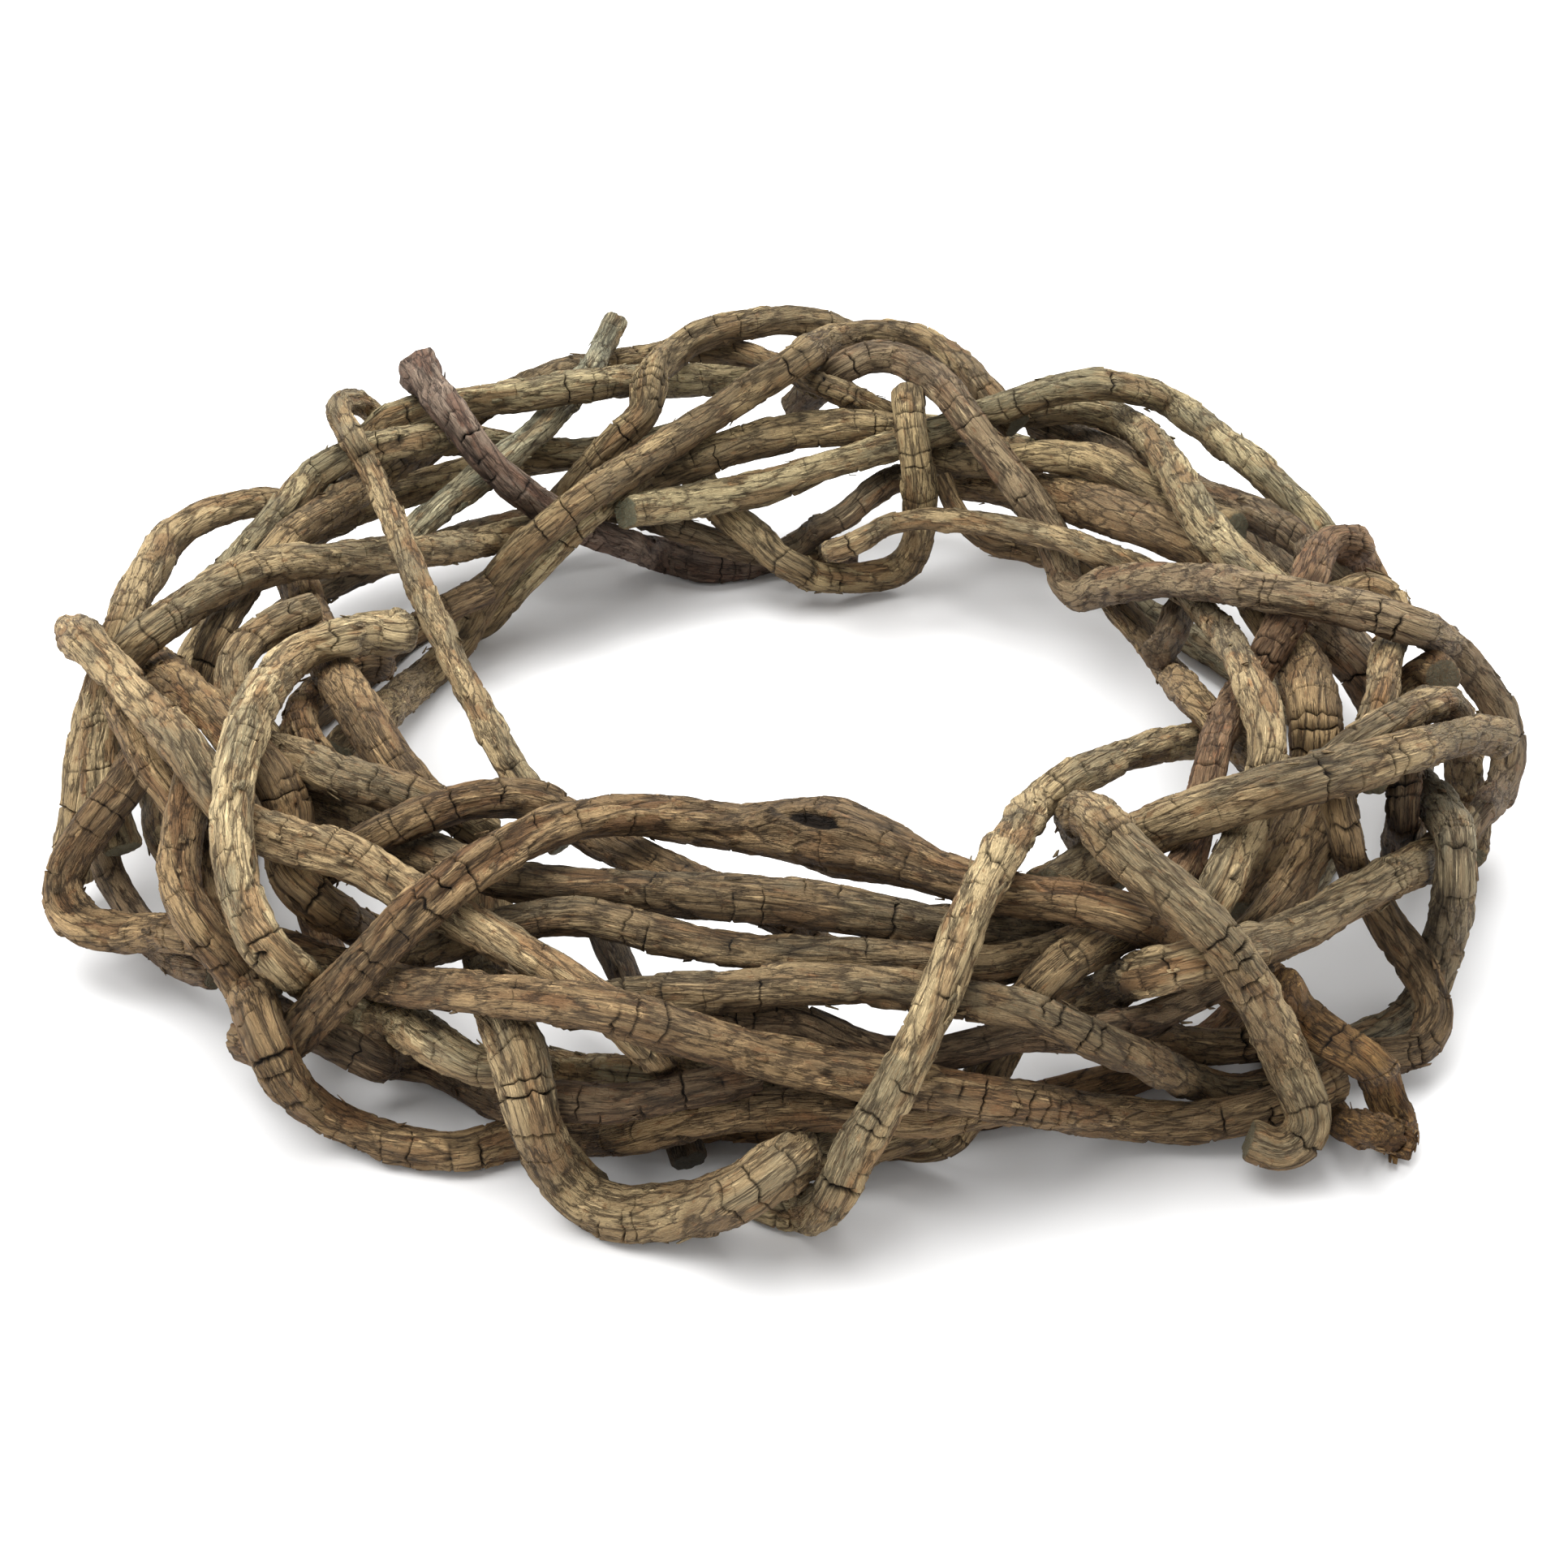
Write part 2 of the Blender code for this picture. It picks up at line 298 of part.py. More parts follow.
RIGHT = (
    Vine("right_long_vine", "purple", (14, 10.5), (
        (985, 500, 1.6), (1010, 470, 1.2), (1045, 448, .6), (1085, 440, .3), (1130, 455, .1),
        (1165, 480, 0), (1195, 520, -.1), (1225, 560, -.2), (1255, 600, -.2), (1280, 640, 0),
        (1300, 670, .8), (1305, 705, .6), (1325, 730, 0), (1365, 722, -.3), (1430, 715, -.5),
        (1500, 720, -.5), (1560, 730, -.5), (1630, 742, -.5), (1700, 757, -.5), (1760, 785, -.4),
        (1810, 825, -.2), (1845, 870, 0), (1860, 920, .2), (1850, 965, .5), (1825, 1000, 1),
        (1800, 1030, 1.6))),
    Vine("right_inner_low", "brown", (9, 12), (
        (1160, 590, 1.3), (1175, 625, .8), (1200, 655, .8), (1240, 677, .6), (1285, 680, .5),
        (1330, 700, 1.1), (1370, 740, .8), (1400, 775, .7), (1430, 815, .3), (1465, 855, .3),
        (1505, 895, .7), (1545, 930, .8), (1590, 960, 1.2))),
    Vine("right_back_thick", "brown", (16, 17), (
        (1180, 590, 1.2), (1240, 600, .8), (1300, 612, .3), (1360, 628, .1), (1420, 648, .1),
        (1475, 672, .2), (1520, 700, .4), (1555, 735, .8), (1580, 780, .9), (1605, 830, .4),
        (1618, 880, .3), (1620, 930, .4), (1610, 985, .9), (1590, 1040, .6), (1565, 1090, .6),
        (1540, 1130, .9))),
    Vine("right_back_bend", "khaki", (13, 13), (
        (1230, 505, 1.6), (1290, 505, 1), (1340, 505, .5), (1390, 522, .2), (1430, 555, .1),
        (1455, 595, 0), (1475, 635, 0), (1510, 675, .1), (1545, 705, .3), (1590, 740, .9))),
    Vine("right_back_low", "dark", (12, 12), (
        (1280, 520, 1.4), (1340, 545, 1.1), (1400, 580, .9), (1450, 600, .9), (1500, 615, .4),
        (1550, 635, .3), (1600, 665, .5), (1640, 700, 1.1), (1680, 750, 1.2)),
        places_before=((-24, 0.215, 0.025), (-6, 0.215, 0.025), (12, 0.215, 0.025), (26, 0.217, 0.030),
                       (37, 0.222, 0.036), (48, 0.224, 0.046), (58, 0.217, 0.054))),
    Vine("right_knob", "red", (12, 11.4), (
        (1710, 770, 1.6), (1690, 730, .9), (1668, 690, .2), (1645, 660, -.3), (1622, 695, -.3),
        (1605, 735, .3), (1580, 775, .3), (1555, 815, .4), (1525, 860, .6), (1502, 910, .3),
        (1487, 960, .4), (1478, 1010, 1), (1465, 1060, 1.2), (1440, 1100, 1.6)),
        swelling=(3, 1.2, 0.008)),
    Vine("right_upper_light", "khaki", (11, 11), (
        (1640, 735, 1.3), (1680, 722, .6), (1715, 735, .4), (1720, 775, .7), (1708, 820, .4),
        (1702, 865, .5), (1690, 910, 1), (1690, 960, 1.5))),
    Vine("right_dark_diag", "dark", (14, 10), (
        (1560, 720, 1.5), (1600, 760, .9), (1640, 795, .7), (1680, 830, .7), (1700, 870, 1),
        (1720, 920, 1.2), (1730, 970, .6), (1730, 1020, .6), (1720, 1060, 1))),
    Vine("right_stub_a", "khaki", (12, 12), (
        (1640, 945, .9), (1670, 920, .3), (1710, 893, -.1), (1750, 872, -.2), (1782, 868, -.1),
        (1800, 900, .5), (1805, 950, 1.2), (1815, 1000, 1.2), (1810, 1050, 1.2))),
    Vine("right_stub_b", "brown", (13, 12), (
        (1775, 835, .5), (1760, 825, .1), (1735, 840, .2), (1715, 870, .6), (1700, 900, 1.2),
        (1665, 940, 1.2), (1645, 985, .6), (1625, 1030, .4), (1600, 1075, .5), (1570, 1120, .9),
        (1530, 1160, 1.5))),
    Vine("right_long_diag", "khaki", (14.5, 12.5), (
        (1290, 1085, 1.4), (1330, 1062, .9), (1375, 1035, .4), (1430, 1015, 0), (1500, 992, -.3),
        (1570, 972, -.4), (1640, 952, -.5), (1710, 932, -.5), (1770, 915, -.5), (1818, 905, -.5),
        (1850, 908, -.3)), domed=(END_DOME, 0.7)),
    Vine("right_front_diag", "khaki", (13, 12), (
        (1370, 1090, 2.2), (1345, 1050, 1.2), (1325, 1015, .3), (1345, 1012, -.4), (1390, 1050, -.8),
        (1440, 1098, -.9), (1490, 1145, -1), (1530, 1195, -1), (1560, 1248, -1), (1580, 1300, -.9),
        (1597, 1350, -.9), (1608, 1410, -.8), (1604, 1458, -.4), (1568, 1470, .3), (1528, 1435, .9))),
    Vine("right_rise", "khaki", (12.8, 12.8), (
        (1285, 1262, 2.2), (1340, 1236, 1.7), (1400, 1207, 1.2), (1460, 1187, 1), (1510, 1175, .9),
        (1560, 1160, .3), (1620, 1135, 0), (1680, 1100, -.1), (1740, 1065, -.1), (1780, 1040, .4),
        (1800, 1010, 1))),
    Vine("right_low_loop", "brown", (11.6, 11.6), (
        (1330, 1265, 1.5), (1390, 1272, .8), (1450, 1282, .7), (1520, 1292, .6), (1580, 1300, .8),
        (1640, 1300, .9), (1690, 1302, .4), (1740, 1295, 0), (1768, 1265, -.1), (1765, 1225, -.1),
        (1742, 1185, 0), (1715, 1145, .2), (1690, 1105, .9), (1665, 1060, .9), (1655, 1015, .6),
        (1645, 975, .8), (1640, 930, 1.2))),
    Vine("right_outer_post", "grey", (12.5, 12.5), (
        (1740, 960, 1.2), (1765, 985, .5), (1785, 1020, 0), (1795, 1060, -.1), (1790, 1105, -.1),
        (1780, 1150, .1), (1768, 1195, .6), (1750, 1235, .9), (1725, 1265, .9), (1695, 1295, 1.2),
        (1660, 1330, 1.6))),
    Vine("torn_stub", "dark", (11, 11), (
        (1475, 720, 1.4), (1455, 745, .6), (1445, 775, .3), (1425, 805, .4))),
    Vine("peeled_strip", "gold", (11, 12), (
        (1578, 1216, 0), (1596, 1242, -.4), (1642, 1290, -.6), (1695, 1360, -.4), (1728, 1412, 0),
        (1737, 1443, .3), (1722, 1464, .8), (1702, 1466, 1.4)),
        flat=0.42),
    Vine("strip_stem", "gold", (10.5, 10.5), (
        (1560, 1340, 1.8), (1620, 1375, 1), (1660, 1408, .6), (1690, 1436, .7), (1704, 1452, 1))),
)


def sight(column, row):
    """The unit direction from the eye through a place in the view."""
    across = (column - VIEW_CENTRE) / VIEW_FOCAL
    above = (VIEW_CENTRE - row) / VIEW_FOCAL
    ray = FORWARD + above * UPWARD + np.array([across, 0.0, 0.0])
    return ray / np.linalg.norm(ray)


def outline_depth(ray):
    """How far along a ray the wreath's outline starts, or comes nearest where the ray misses it."""
    reach = np.arange(0.35, 1.35, 0.0005)
    points = EYE + reach[:, None] * ray
    radius = np.hypot(points[:, 0], points[:, 1])
    across = (radius - RING_RADIUS) / RING_HALF_WIDTH
    above = (points[:, 2] - RING_HEIGHT / 2) / (RING_HEIGHT / 2)
    outside = np.hypot(across, above) - 1
    inside = np.flatnonzero(outside < 0)
    return reach[inside[0]] if len(inside) else reach[outside.argmin()]


def seen_point(column, row, depth, girth):
    """The place of a station that lies a number of girths under the outline."""
    ray = sight(column, row)
    return EYE + (outline_depth(ray) + girth * (0.5 + depth)) * ray


def level_point(column, row, height):
    """The place of a station at a height in millimetres."""
    ray = sight(column, row)
    return EYE + (height / 1000 - EYE[2]) / ray[2] * ray


def round_point(angle, radius, height):
    """A place round the wreath's middle."""
    turn = math.radians(angle)
    return np.array([radius * math.cos(turn), radius * math.sin(turn), height])


def lengths_along(points):
    """The distance of each point from the first, along the line."""
    return np.concatenate([[0.0], np.cumsum(np.linalg.norm(np.diff(points, axis=0), axis=1))])


def at_lengths(points, wanted):
    """The points of a line at the wanted distances along it."""
    lengths = lengths_along(points)
    return np.stack([np.interp(wanted, lengths, points[:, axis]) for axis in range(3)], axis=1)


def smooth_line(points, step):
    """A centripetal Catmull-Rom curve through the points, as a line of even steps."""
    whole = np.vstack([2 * points[0] - points[1], points, 2 * points[-1] - points[-2]])
    knots = np.concatenate([[0.0], np.cumsum(np.sqrt(np.linalg.norm(np.diff(whole, axis=0), axis=1)))])
    line = []
    for first in range(len(points) - 1):
        p = whole[first : first + 4]
        t = knots[first : first + 4]
        for x in np.linspace(t[1], t[2], 12, endpoint=False):
            a = [((t[i + 1] - x) * p[i] + (x - t[i]) * p[i + 1]) / (t[i + 1] - t[i]) for i in range(3)]
            b = [((t[i + 2] - x) * a[i] + (x - t[i]) * a[i + 1]) / (t[i + 2] - t[i]) for i in range(2)]
            line.append(((t[2] - x) * b[0] + (x - t[1]) * b[1]) / (t[2] - t[1]))
    line.append(points[-1])
    line = np.array(line)
    length = lengths_along(line)[-1]
    return at_lengths(line, np.linspace(0, length, max(4, round(length / step) + 1)))


def centre_points(vine):
    """The points that a vine's centre line passes through."""
    points = [round_point(*place) for place in vine.places_before]
    for index, (column, row, depth) in enumerate(vine.stations):
        share = index / max(1, len(vine.stations) - 1)
        girth = (vine.girths[0] + share * (vine.girths[1] - vine.girths[0])) / 1000
        if vine.heights:
            points.append(level_point(column, row, depth))
        else:
            points.append(seen_point(column, row, depth, girth))
    points += [round_point(*place) for place in vine.places_after]
    points = np.array(points)
    points[:, 2] = np.maximum(points[:, 2], vine.girths[0] / 2000)
    return points


def radii_along(vine, lengths, swelling_at, seed):
    """The vine's radius at each distance: its taper, a slight wobble and its knot."""
    draw = np.random.default_rng(seed)
    share = lengths / lengths[-1]
    radii = (vine.girths[0] + share * (vine.girths[1] - vine.girths[0])) / 2000
    if vine.held:
        return radii
    for wave in WOBBLE_WAVES:
        phase = draw.uniform(0, math.tau)
        radii = radii * (1 + GIRTH_WOBBLE / 2 * np.sin(math.tau * lengths / wave + phase))
    if vine.swelling:
        factor, half_length = vine.swelling[1:]
        radii = radii * (1 + (factor - 1) * np.exp(-(((lengths - swelling_at) / half_length) ** 2)))
    return radii


@dataclass
class Rods:
    """All the vines' centre lines as one set of points, and the samples between them that keep apart.

    Each point has its radius, its vine's number, its distance along the vine and whether it is held.
    Each sample lies some share of the way from one point to the next.
    """

    points: np.ndarray
    radii: np.ndarray
    owner: np.ndarray
    reach: np.ndarray
    held: np.ndarray
    before: np.ndarray = None
    share: np.ndarray = None

    def sample_runs(self):
        """Stands samples a few millimetres apart along every run between two points."""
        before, share = [], []
        for index in range(len(self.points) - 1):
            if self.owner[index] != self.owner[index + 1]:
                before.append(index - 1)
                share.append(1.0)
                continue
            run = np.linalg.norm(self.points[index + 1] - self.points[index])
            count = max(1, math.ceil(run / SAMPLE_STEP))
            before += [index] * count
            share += [part / count for part in range(count)]
        before.append(len(self.points) - 2)
        share.append(1.0)
        self.before = np.array(before)
        self.share = np.array(share)

    def mix(self, values):
        """A value of the points, at the samples."""
        share = self.share if values.ndim == 1 else self.share[:, None]
        return (1 - share) * values[self.before] + share * values[self.before + 1]

    def spread(self, amounts, active):
        """Pushes on samples, carried to the points as weighted means."""
        total = np.zeros((len(self.points),) + amounts.shape[1:])
        weight = np.full(len(self.points), 1e-9)
        for index, part in ((self.before, 1 - self.share), (self.before + 1, self.share)):
            np.add.at(total, index, amounts * (part if amounts.ndim == 1 else part[:, None]))
            np.add.at(weight, index, part * active)
        return total / (weight if amounts.ndim == 1 else weight[:, None])


def close_pairs(rods, margin):
    """The pairs of samples that could touch: of two vines, or of far runs of one."""
    places = rods.mix(rods.points)
    radii = rods.mix(rods.radii)
    reach = rods.mix(rods.reach)
    owner = rods.owner[rods.before]
    tree = KDTree(len(places))
    for index, place in enumerate(places):
        tree.insert(place, index)
    tree.balance()
    firsts, seconds = [], []
    widest = radii.max()
    for index, place in enumerate(places):
        for _, other, distance in tree.find_range(place, radii[index] + widest + margin):
            if other <= index or distance > radii[index] + radii[other] + margin:
                continue
            if owner[other] == owner[index] and abs(reach[other] - reach[index]) < OWN_REACH * radii[index]:
                continue
            firsts.append(index)
            seconds.append(other)
    return np.array(firsts), np.array(seconds), owner


def crossing_orders(firsts, seconds, owner, amounts):
    """Which of two vines lies in front, at each pair: the sign of the amounts summed over nearby pairs."""
    key = firsts.astype(np.int64) * PAIR_KEY + seconds
    rank = np.argsort(key)
    sorted_key = key[rank]
    total = np.zeros(len(key))
    for first_step in range(-ORDER_WINDOW, ORDER_WINDOW + 1):
        for second_step in range(-ORDER_WINDOW, ORDER_WINDOW + 1):
            wanted = key + first_step * PAIR_KEY + second_step
            spot = np.minimum(np.searchsorted(sorted_key, wanted), len(key) - 1)
            other = rank[spot]
            same = (sorted_key[spot] == wanted) & (owner[firsts[other]] == owner[firsts])
            same &= owner[seconds[other]] == owner[seconds]
            total += np.where(same, amounts[other], 0)
    return np.where(total < 0, -1.0, 1.0)


def stiffening(rods, stiffness):
    """For each vine the matrix that turns pushes on its points into the bend of a stiff stem."""
    matrices = []
    for index in range(rods.owner[-1] + 1):
        own = np.flatnonzero(rods.owner == index)
        bends = np.diff(np.eye(len(own)), n=2, axis=0)
        weight = np.diag(np.where(rods.held[own], HELD_WEIGHT, 1.0))
        matrices.append((own, np.linalg.solve(weight + stiffness * bends.T @ bends, weight)))
    return matrices


def stiffened(values, matrices):
    """Values along every vine, as its stiffness lets them through."""
    result = np.empty_like(values)
    for own, matrix in matrices:
        result[own] = matrix @ values[own]
    return result


def ease_along_sight(rods, rounds, passes, stiffness, pull):
    """Slides points along their lines of sight until crossing vines clear each other in depth."""
    rays = rods.points - EYE
    rays /= np.linalg.norm(rays, axis=1)[:, None]
    start = rods.points.copy()
    shift = np.zeros(len(start))
    free = ~rods.held
    lowest = (EYE[2] - rods.radii) / np.abs(rays[:, 2]) - np.linalg.norm(start - EYE, axis=1)
    highest = (EYE[2] - MOST_HEIGHT + rods.radii) / np.abs(rays[:, 2]) - np.linalg.norm(start - EYE, axis=1)
    for turn in range(rounds):
        rods.points = start + shift[:, None] * rays
        matrices = stiffening(rods, stiffness * (1 - turn / rounds) ** 2 + LEAST_STIFFNESS)
        firsts, seconds, owner = close_pairs(rods, 0.006)
        places = rods.mix(rods.points)
        ray = rods.mix(rays)
        radii = rods.mix(rods.radii)
        need = radii[firsts] + radii[seconds] + CLEARANCE
        along, lateral = split_gap(places, ray, firsts, seconds)
        near = lateral < need
        firsts, seconds, need, along, lateral = (v[near] for v in (firsts, seconds, need, along, lateral))
        order = crossing_orders(firsts, seconds, owner, along * (need - lateral))
        movable = rods.mix(free.astype(float)) > 0.5
        split = np.where(movable[firsts] & movable[seconds], 0.5, 1.0)
        kept = 1 - pull * (1 - turn / rounds)
        for _ in range(passes):
            places = rods.mix(start + shift[:, None] * rays)
            along, lateral = split_gap(places, ray, firsts, seconds)
            lack = np.sqrt(np.clip(need**2 - lateral**2, 0, None)) - order * along
            active = (lack > 0) & (lateral < need)
            amount = np.where(active, lack, 0) * split * order
            push = np.zeros(len(places))
            count = np.zeros(len(places))
            for index, value in ((firsts, -amount), (seconds, amount)):
                np.add.at(push, index, value)
                np.add.at(count, index, active)
            push /= np.maximum(count, 1)
            change = rods.spread(push, (count > 0).astype(float))
            shift = kept * shift + stiffened(PUSH * change, matrices)
            shift = np.where(free, np.clip(shift, highest, lowest), 0)
    rods.points = start + shift[:, None] * rays


def level_depths(rods):
    """Evens out each vine's depth along the lines of sight, before its neighbours push it."""
    rays = rods.points - EYE
    depth = np.linalg.norm(rays, axis=1)
    even = np.where(rods.held, depth, stiffened(depth, stiffening(rods, DEPTH_STIFFNESS)))
    rods.points = EYE + (even / depth)[:, None] * rays


def split_gap(places, rays, firsts, seconds):
    """How far each second sample lies beyond the first along the line of sight, and beside it."""
    gap = places[seconds] - places[firsts]
    ray = rays[firsts]
    along = (gap * ray).sum(axis=1)
    lateral = np.sqrt(np.clip((gap**2).sum(axis=1) - along**2, 0, None))
    return along, lateral


def ease_freely(rods, rounds, passes):
    """Parts what still touches in whatever direction is shortest."""
    free = ~rods.held
    inner = (rods.owner[1:-1] == rods.owner[:-2]) & (rods.owner[1:-1] == rods.owner[2:])
    radii = rods.mix(rods.radii)
    for turn in range(rounds):
        firsts, seconds, _ = close_pairs(rods, 0.003)
        need = radii[firsts] + radii[seconds] + CLEARANCE
        movable = rods.mix(free.astype(float)) > 0.5
        split = np.where(movable[firsts] & movable[seconds], 0.5, 1.0)
        for _ in range(passes):
            places = rods.mix(rods.points)
            gap = places[seconds] - places[firsts]
            distance = np.linalg.norm(gap, axis=1) + 1e-9
            lack = np.clip(need - distance, 0, None)
            amount = (lack * split / distance)[:, None] * gap
            push = np.zeros_like(places)
            count = np.zeros(len(places))
            for index, value in ((firsts, -amount), (seconds, amount)):
                np.add.at(push, index, value)
                np.add.at(count, index, lack > 0)
            push /= np.maximum(count, 1)[:, None]
            change = rods.spread(push, (count > 0).astype(float))
            soft = change.copy()
            soft[1:-1] = np.where(
                inner[:, None], 0.25 * change[:-2] + 0.5 * change[1:-1] + 0.25 * change[2:], soft[1:-1]
            )
            blend = soft if turn < rounds - 2 else change
            rods.points += np.where(free[:, None], blend, 0)
            if turn < rounds - 4:
                open_bends(rods, free)
            rods.points[:, 2] = np.where(free, np.maximum(rods.points[:, 2], rods.radii), rods.points[:, 2])


def open_bends(rods, free):
    """Moves points of a bend that is tighter than the tube allows towards their neighbours' middle."""
    points = rods.points
    inner = (rods.owner[1:-1] == rods.owner[:-2]) & (rods.owner[1:-1] == rods.owner[2:]) & free[1:-1]
    chord = np.linalg.norm(points[2:] - points[:-2], axis=1)
    inward = (points[2:] + points[:-2]) / 2 - points[1:-1]
    sag = np.linalg.norm(inward, axis=1) + 1e-9
    most = chord**2 / (8 * TIGHTEST_BEND * rods.radii[1:-1])
    share = np.where(inner, np.clip(sag - most, 0, None) / sag, 0)[:, None]
    move = np.zeros_like(points)
    move[1:-1] += 0.25 * share * inward
    move[2:] -= 0.12 * share * inward
    move[:-2] -= 0.12 * share * inward
    points += np.where(free[:, None], move, 0)


def rods_of(vines, lines, radii_lists):
    """One set of points from the vines' lines."""
    owner = np.concatenate([np.full(len(line), index) for index, line in enumerate(lines)])
    points = np.vstack(lines)
    radii = np.concatenate(radii_lists)
    held = np.array([vine.held for vine in vines])[owner] & (points[:, 2] < radii + 0.0004)
    rods = Rods(points, radii, owner, np.concatenate([lengths_along(line) for line in lines]), held)
    rods.sample_runs()
    return rods


def swelling_place(vine, points, line):
    """The distance along the line of the station that a vine's knot sits on."""
    if not vine.swelling:
        return 0.0
    knot = points[vine.swelling[0] + len(vine.places_before)]
    return lengths_along(line)[np.linalg.norm(line - knot, axis=1).argmin()]


def ring_lengths(line):
    """Distances along a line where its rings stand, closer together where it bends."""
    lengths = lengths_along(line)
    turns = np.diff(line, axis=0)
    turns /= np.linalg.norm(turns, axis=1)[:, None]
    angle = np.arccos(np.clip((turns[1:] * turns[:-1]).sum(axis=1), -1, 1))
    bend = np.concatenate([[angle[0]], angle, [angle[-1]]]) / (lengths[-1] / (len(line) - 1))
    bend = np.convolve(np.pad(bend, 1, mode="edge"), np.full(3, 1 / 3), mode="valid")
    spacing = np.clip(np.sqrt(8 * CHORD_SAG / np.maximum(bend, 1e-3)), RING_STEP_LEAST, RING_STEP_MOST)
    steps = np.concatenate([[0.0], np.cumsum(np.diff(lengths) / ((spacing[1:] + spacing[:-1]) / 2))])
    return np.interp(np.linspace(0, steps[-1], max(3, round(steps[-1]) + 1)), steps, lengths)


def woven(vines):
    """Every vine's rings: centres and radii, clear of each other."""
    lines, radii_lists, swellings = [], [], []
    for index, vine in enumerate(vines):
        points = centre_points(vine)
        line = smooth_line(points, FINE_STEP)
        lines.append(line)
        swellings.append(swelling_place(vine, points, line))
        radii_lists.append(radii_along(vine, lengths_along(line), swellings[-1], SEED + index))
    rods = rods_of(vines, lines, radii_lists)
    level_depths(rods)
    ease_along_sight(rods, rounds=16, passes=24, stiffness=60, pull=0.004)
    rings, ring_radii = [], []
    for index, vine in enumerate(vines):
        line = smooth_line(rods.points[rods.owner == index], 0.003)
        wanted = ring_lengths(line)
        rings.append(at_lengths(line, wanted))
        share = wanted / wanted[-1] * lengths_along(lines[index])[-1]
        ring_radii.append(radii_along(vine, share, swellings[index], SEED + index))
    rods = rods_of(vines, rings, ring_radii)
    ease_along_sight(rods, rounds=4, passes=20, stiffness=1, pull=0)
    ease_freely(rods, rounds=14, passes=20)
    return [rods.points[rods.owner == index] for index in range(len(vines))], ring_radii


def section_frames(centres, flat):
    """Across and upward directions of each ring, turned as little as possible from ring to ring."""
    runs = np.diff(centres, axis=0)
    runs /= np.linalg.norm(runs, axis=1)[:, None]
    tangents = np.vstack([runs[:1], runs[:-1] + runs[1:], runs[-1:]])
    tangents /= np.linalg.norm(tangents, axis=1)[:, None]
    up = np.array([0.0, 0.0, 1.0])
    frames = []
    for centre, tangent in zip(centres, tangents):
        if flat:
            up = EYE - centre
        up = up - up.dot(tangent) * tangent
        up /= np.linalg.norm(up)
        frames.append((np.cross(tangent, up), up, tangent))
    return frames


def add_tube(mesh, vine, centres, radii, seed):
    """A closed tube of rings, its ends slightly domed."""
    draw = np.random.default_rng(seed)
    frames = section_frames(centres, bool(vine.flat))
    rings = []
    for place, (centre, radius, (across, up, _)) in enumerate(zip(centres, radii, frames)):
        ring = []
        curl = abs(2 * place / (len(centres) - 1) - 1) ** 2
        rise = vine.flat + (1 - vine.flat) * curl if vine.flat else 1.0
        for side in range(SIDES):
            turn = math.tau * (side + 0.5) / SIDES - math.pi / 2
            uneven = SECTION_GROWTH if vine.held else SECTION_GROWTH - draw.uniform(0, SECTION_UNEVEN)
            spot = centre + radius * uneven * (math.cos(turn) * across + rise * math.sin(turn) * up)
            if spot[2] < FOOT_FLAT:
                spot[2] = 0.0
            ring.append(mesh.verts.new(spot))
        rings.append(ring)
    for before, after in zip(rings, rings[1:]):
        for side in range(SIDES):
            far = (side + 1) % SIDES
            mesh.faces.new((before[side], before[far], after[far], after[side]))
    for ring, centre, radius, frame, dome, sign in (
        (rings[0], centres[0], radii[0], frames[0], vine.domed[0], -1),
        (rings[-1], centres[-1], radii[-1], frames[-1], vine.domed[1], 1),
    ):
        tip = mesh.verts.new(centre + sign * dome * radius * frame[2])
        for side in range(SIDES):
            pair = (ring[side], ring[(side + 1) % SIDES])
            mesh.faces.new(pair[::sign] + (tip,))


def bark(vine):
    """The vine's own material."""
    colour, roughness = TONES[vine.tone]
    material = bpy.data.materials.new("bark_" + vine.name)
    material.use_nodes = True
    surface = material.node_tree.nodes["Principled BSDF"]
    surface.inputs["Base Color"].default_value = (*colour, 1.0)
    surface.inputs["Roughness"].default_value = roughness
    surface.inputs["Metallic"].default_value = 0.0
    material.diffuse_color = (*colour, 1.0)
    return material


def add_vine(vine, centres, radii, seed):
    """One vine as an object."""
    shape = bmesh.new()
    add_tube(shape, vine, centres, radii, seed)
    bmesh.ops.recalc_face_normals(shape, faces=shape.faces)
    bmesh.ops.triangulate(shape, faces=shape.faces)
    mesh = bpy.data.meshes.new(vine.name)
    shape.to_mesh(mesh)
    shape.free()
    mesh.shade_smooth()
    mesh.materials.append(bark(vine))
    bpy.context.scene.collection.objects.link(bpy.data.objects.new(vine.name, mesh))


def centred(lines, radii_lists):
    """The lines moved so that the wreath's footprint has its middle at the origin."""
    points = np.vstack(lines)[:, :2]
    radii = np.concatenate(radii_lists)[:, None]
    middle = ((points - radii).min(axis=0) + (points + radii).max(axis=0)) / 2
    middle = np.append(middle, 0.0)
    return [line - middle for line in lines]


def build_wreath():
    """Clears the scene and makes every vine."""
    for old in list(bpy.data.objects):
        bpy.data.objects.remove(old, do_unlink=True)
    vines = FEET + FRONT + LEFT + BACK + RIGHT
    lines, radii_lists = woven(vines)
    lines = centred(lines, radii_lists)
    for index, (vine, line, radii) in enumerate(zip(vines, lines, radii_lists)):
        add_vine(vine, line, radii, SEED + index)


if __name__ == "__main__":
    build_wreath()
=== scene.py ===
"""The looks of a rustic wreath wound from woody vines.

Each vine of the frame is a plain tube. Here it is drawn again as a fine tube with bark: its centre
line and girth are read from the frame's tube, and furrows, plates, cross cracks, flakes, a knot and
worn ends are cut into it. Colour and the finest grain are node-based and laid out along each stem.
"""

import json
import logging
import math
from dataclasses import dataclass, field
from enum import Enum

import bpy
import numpy as np
from mathutils import Matrix, Vector

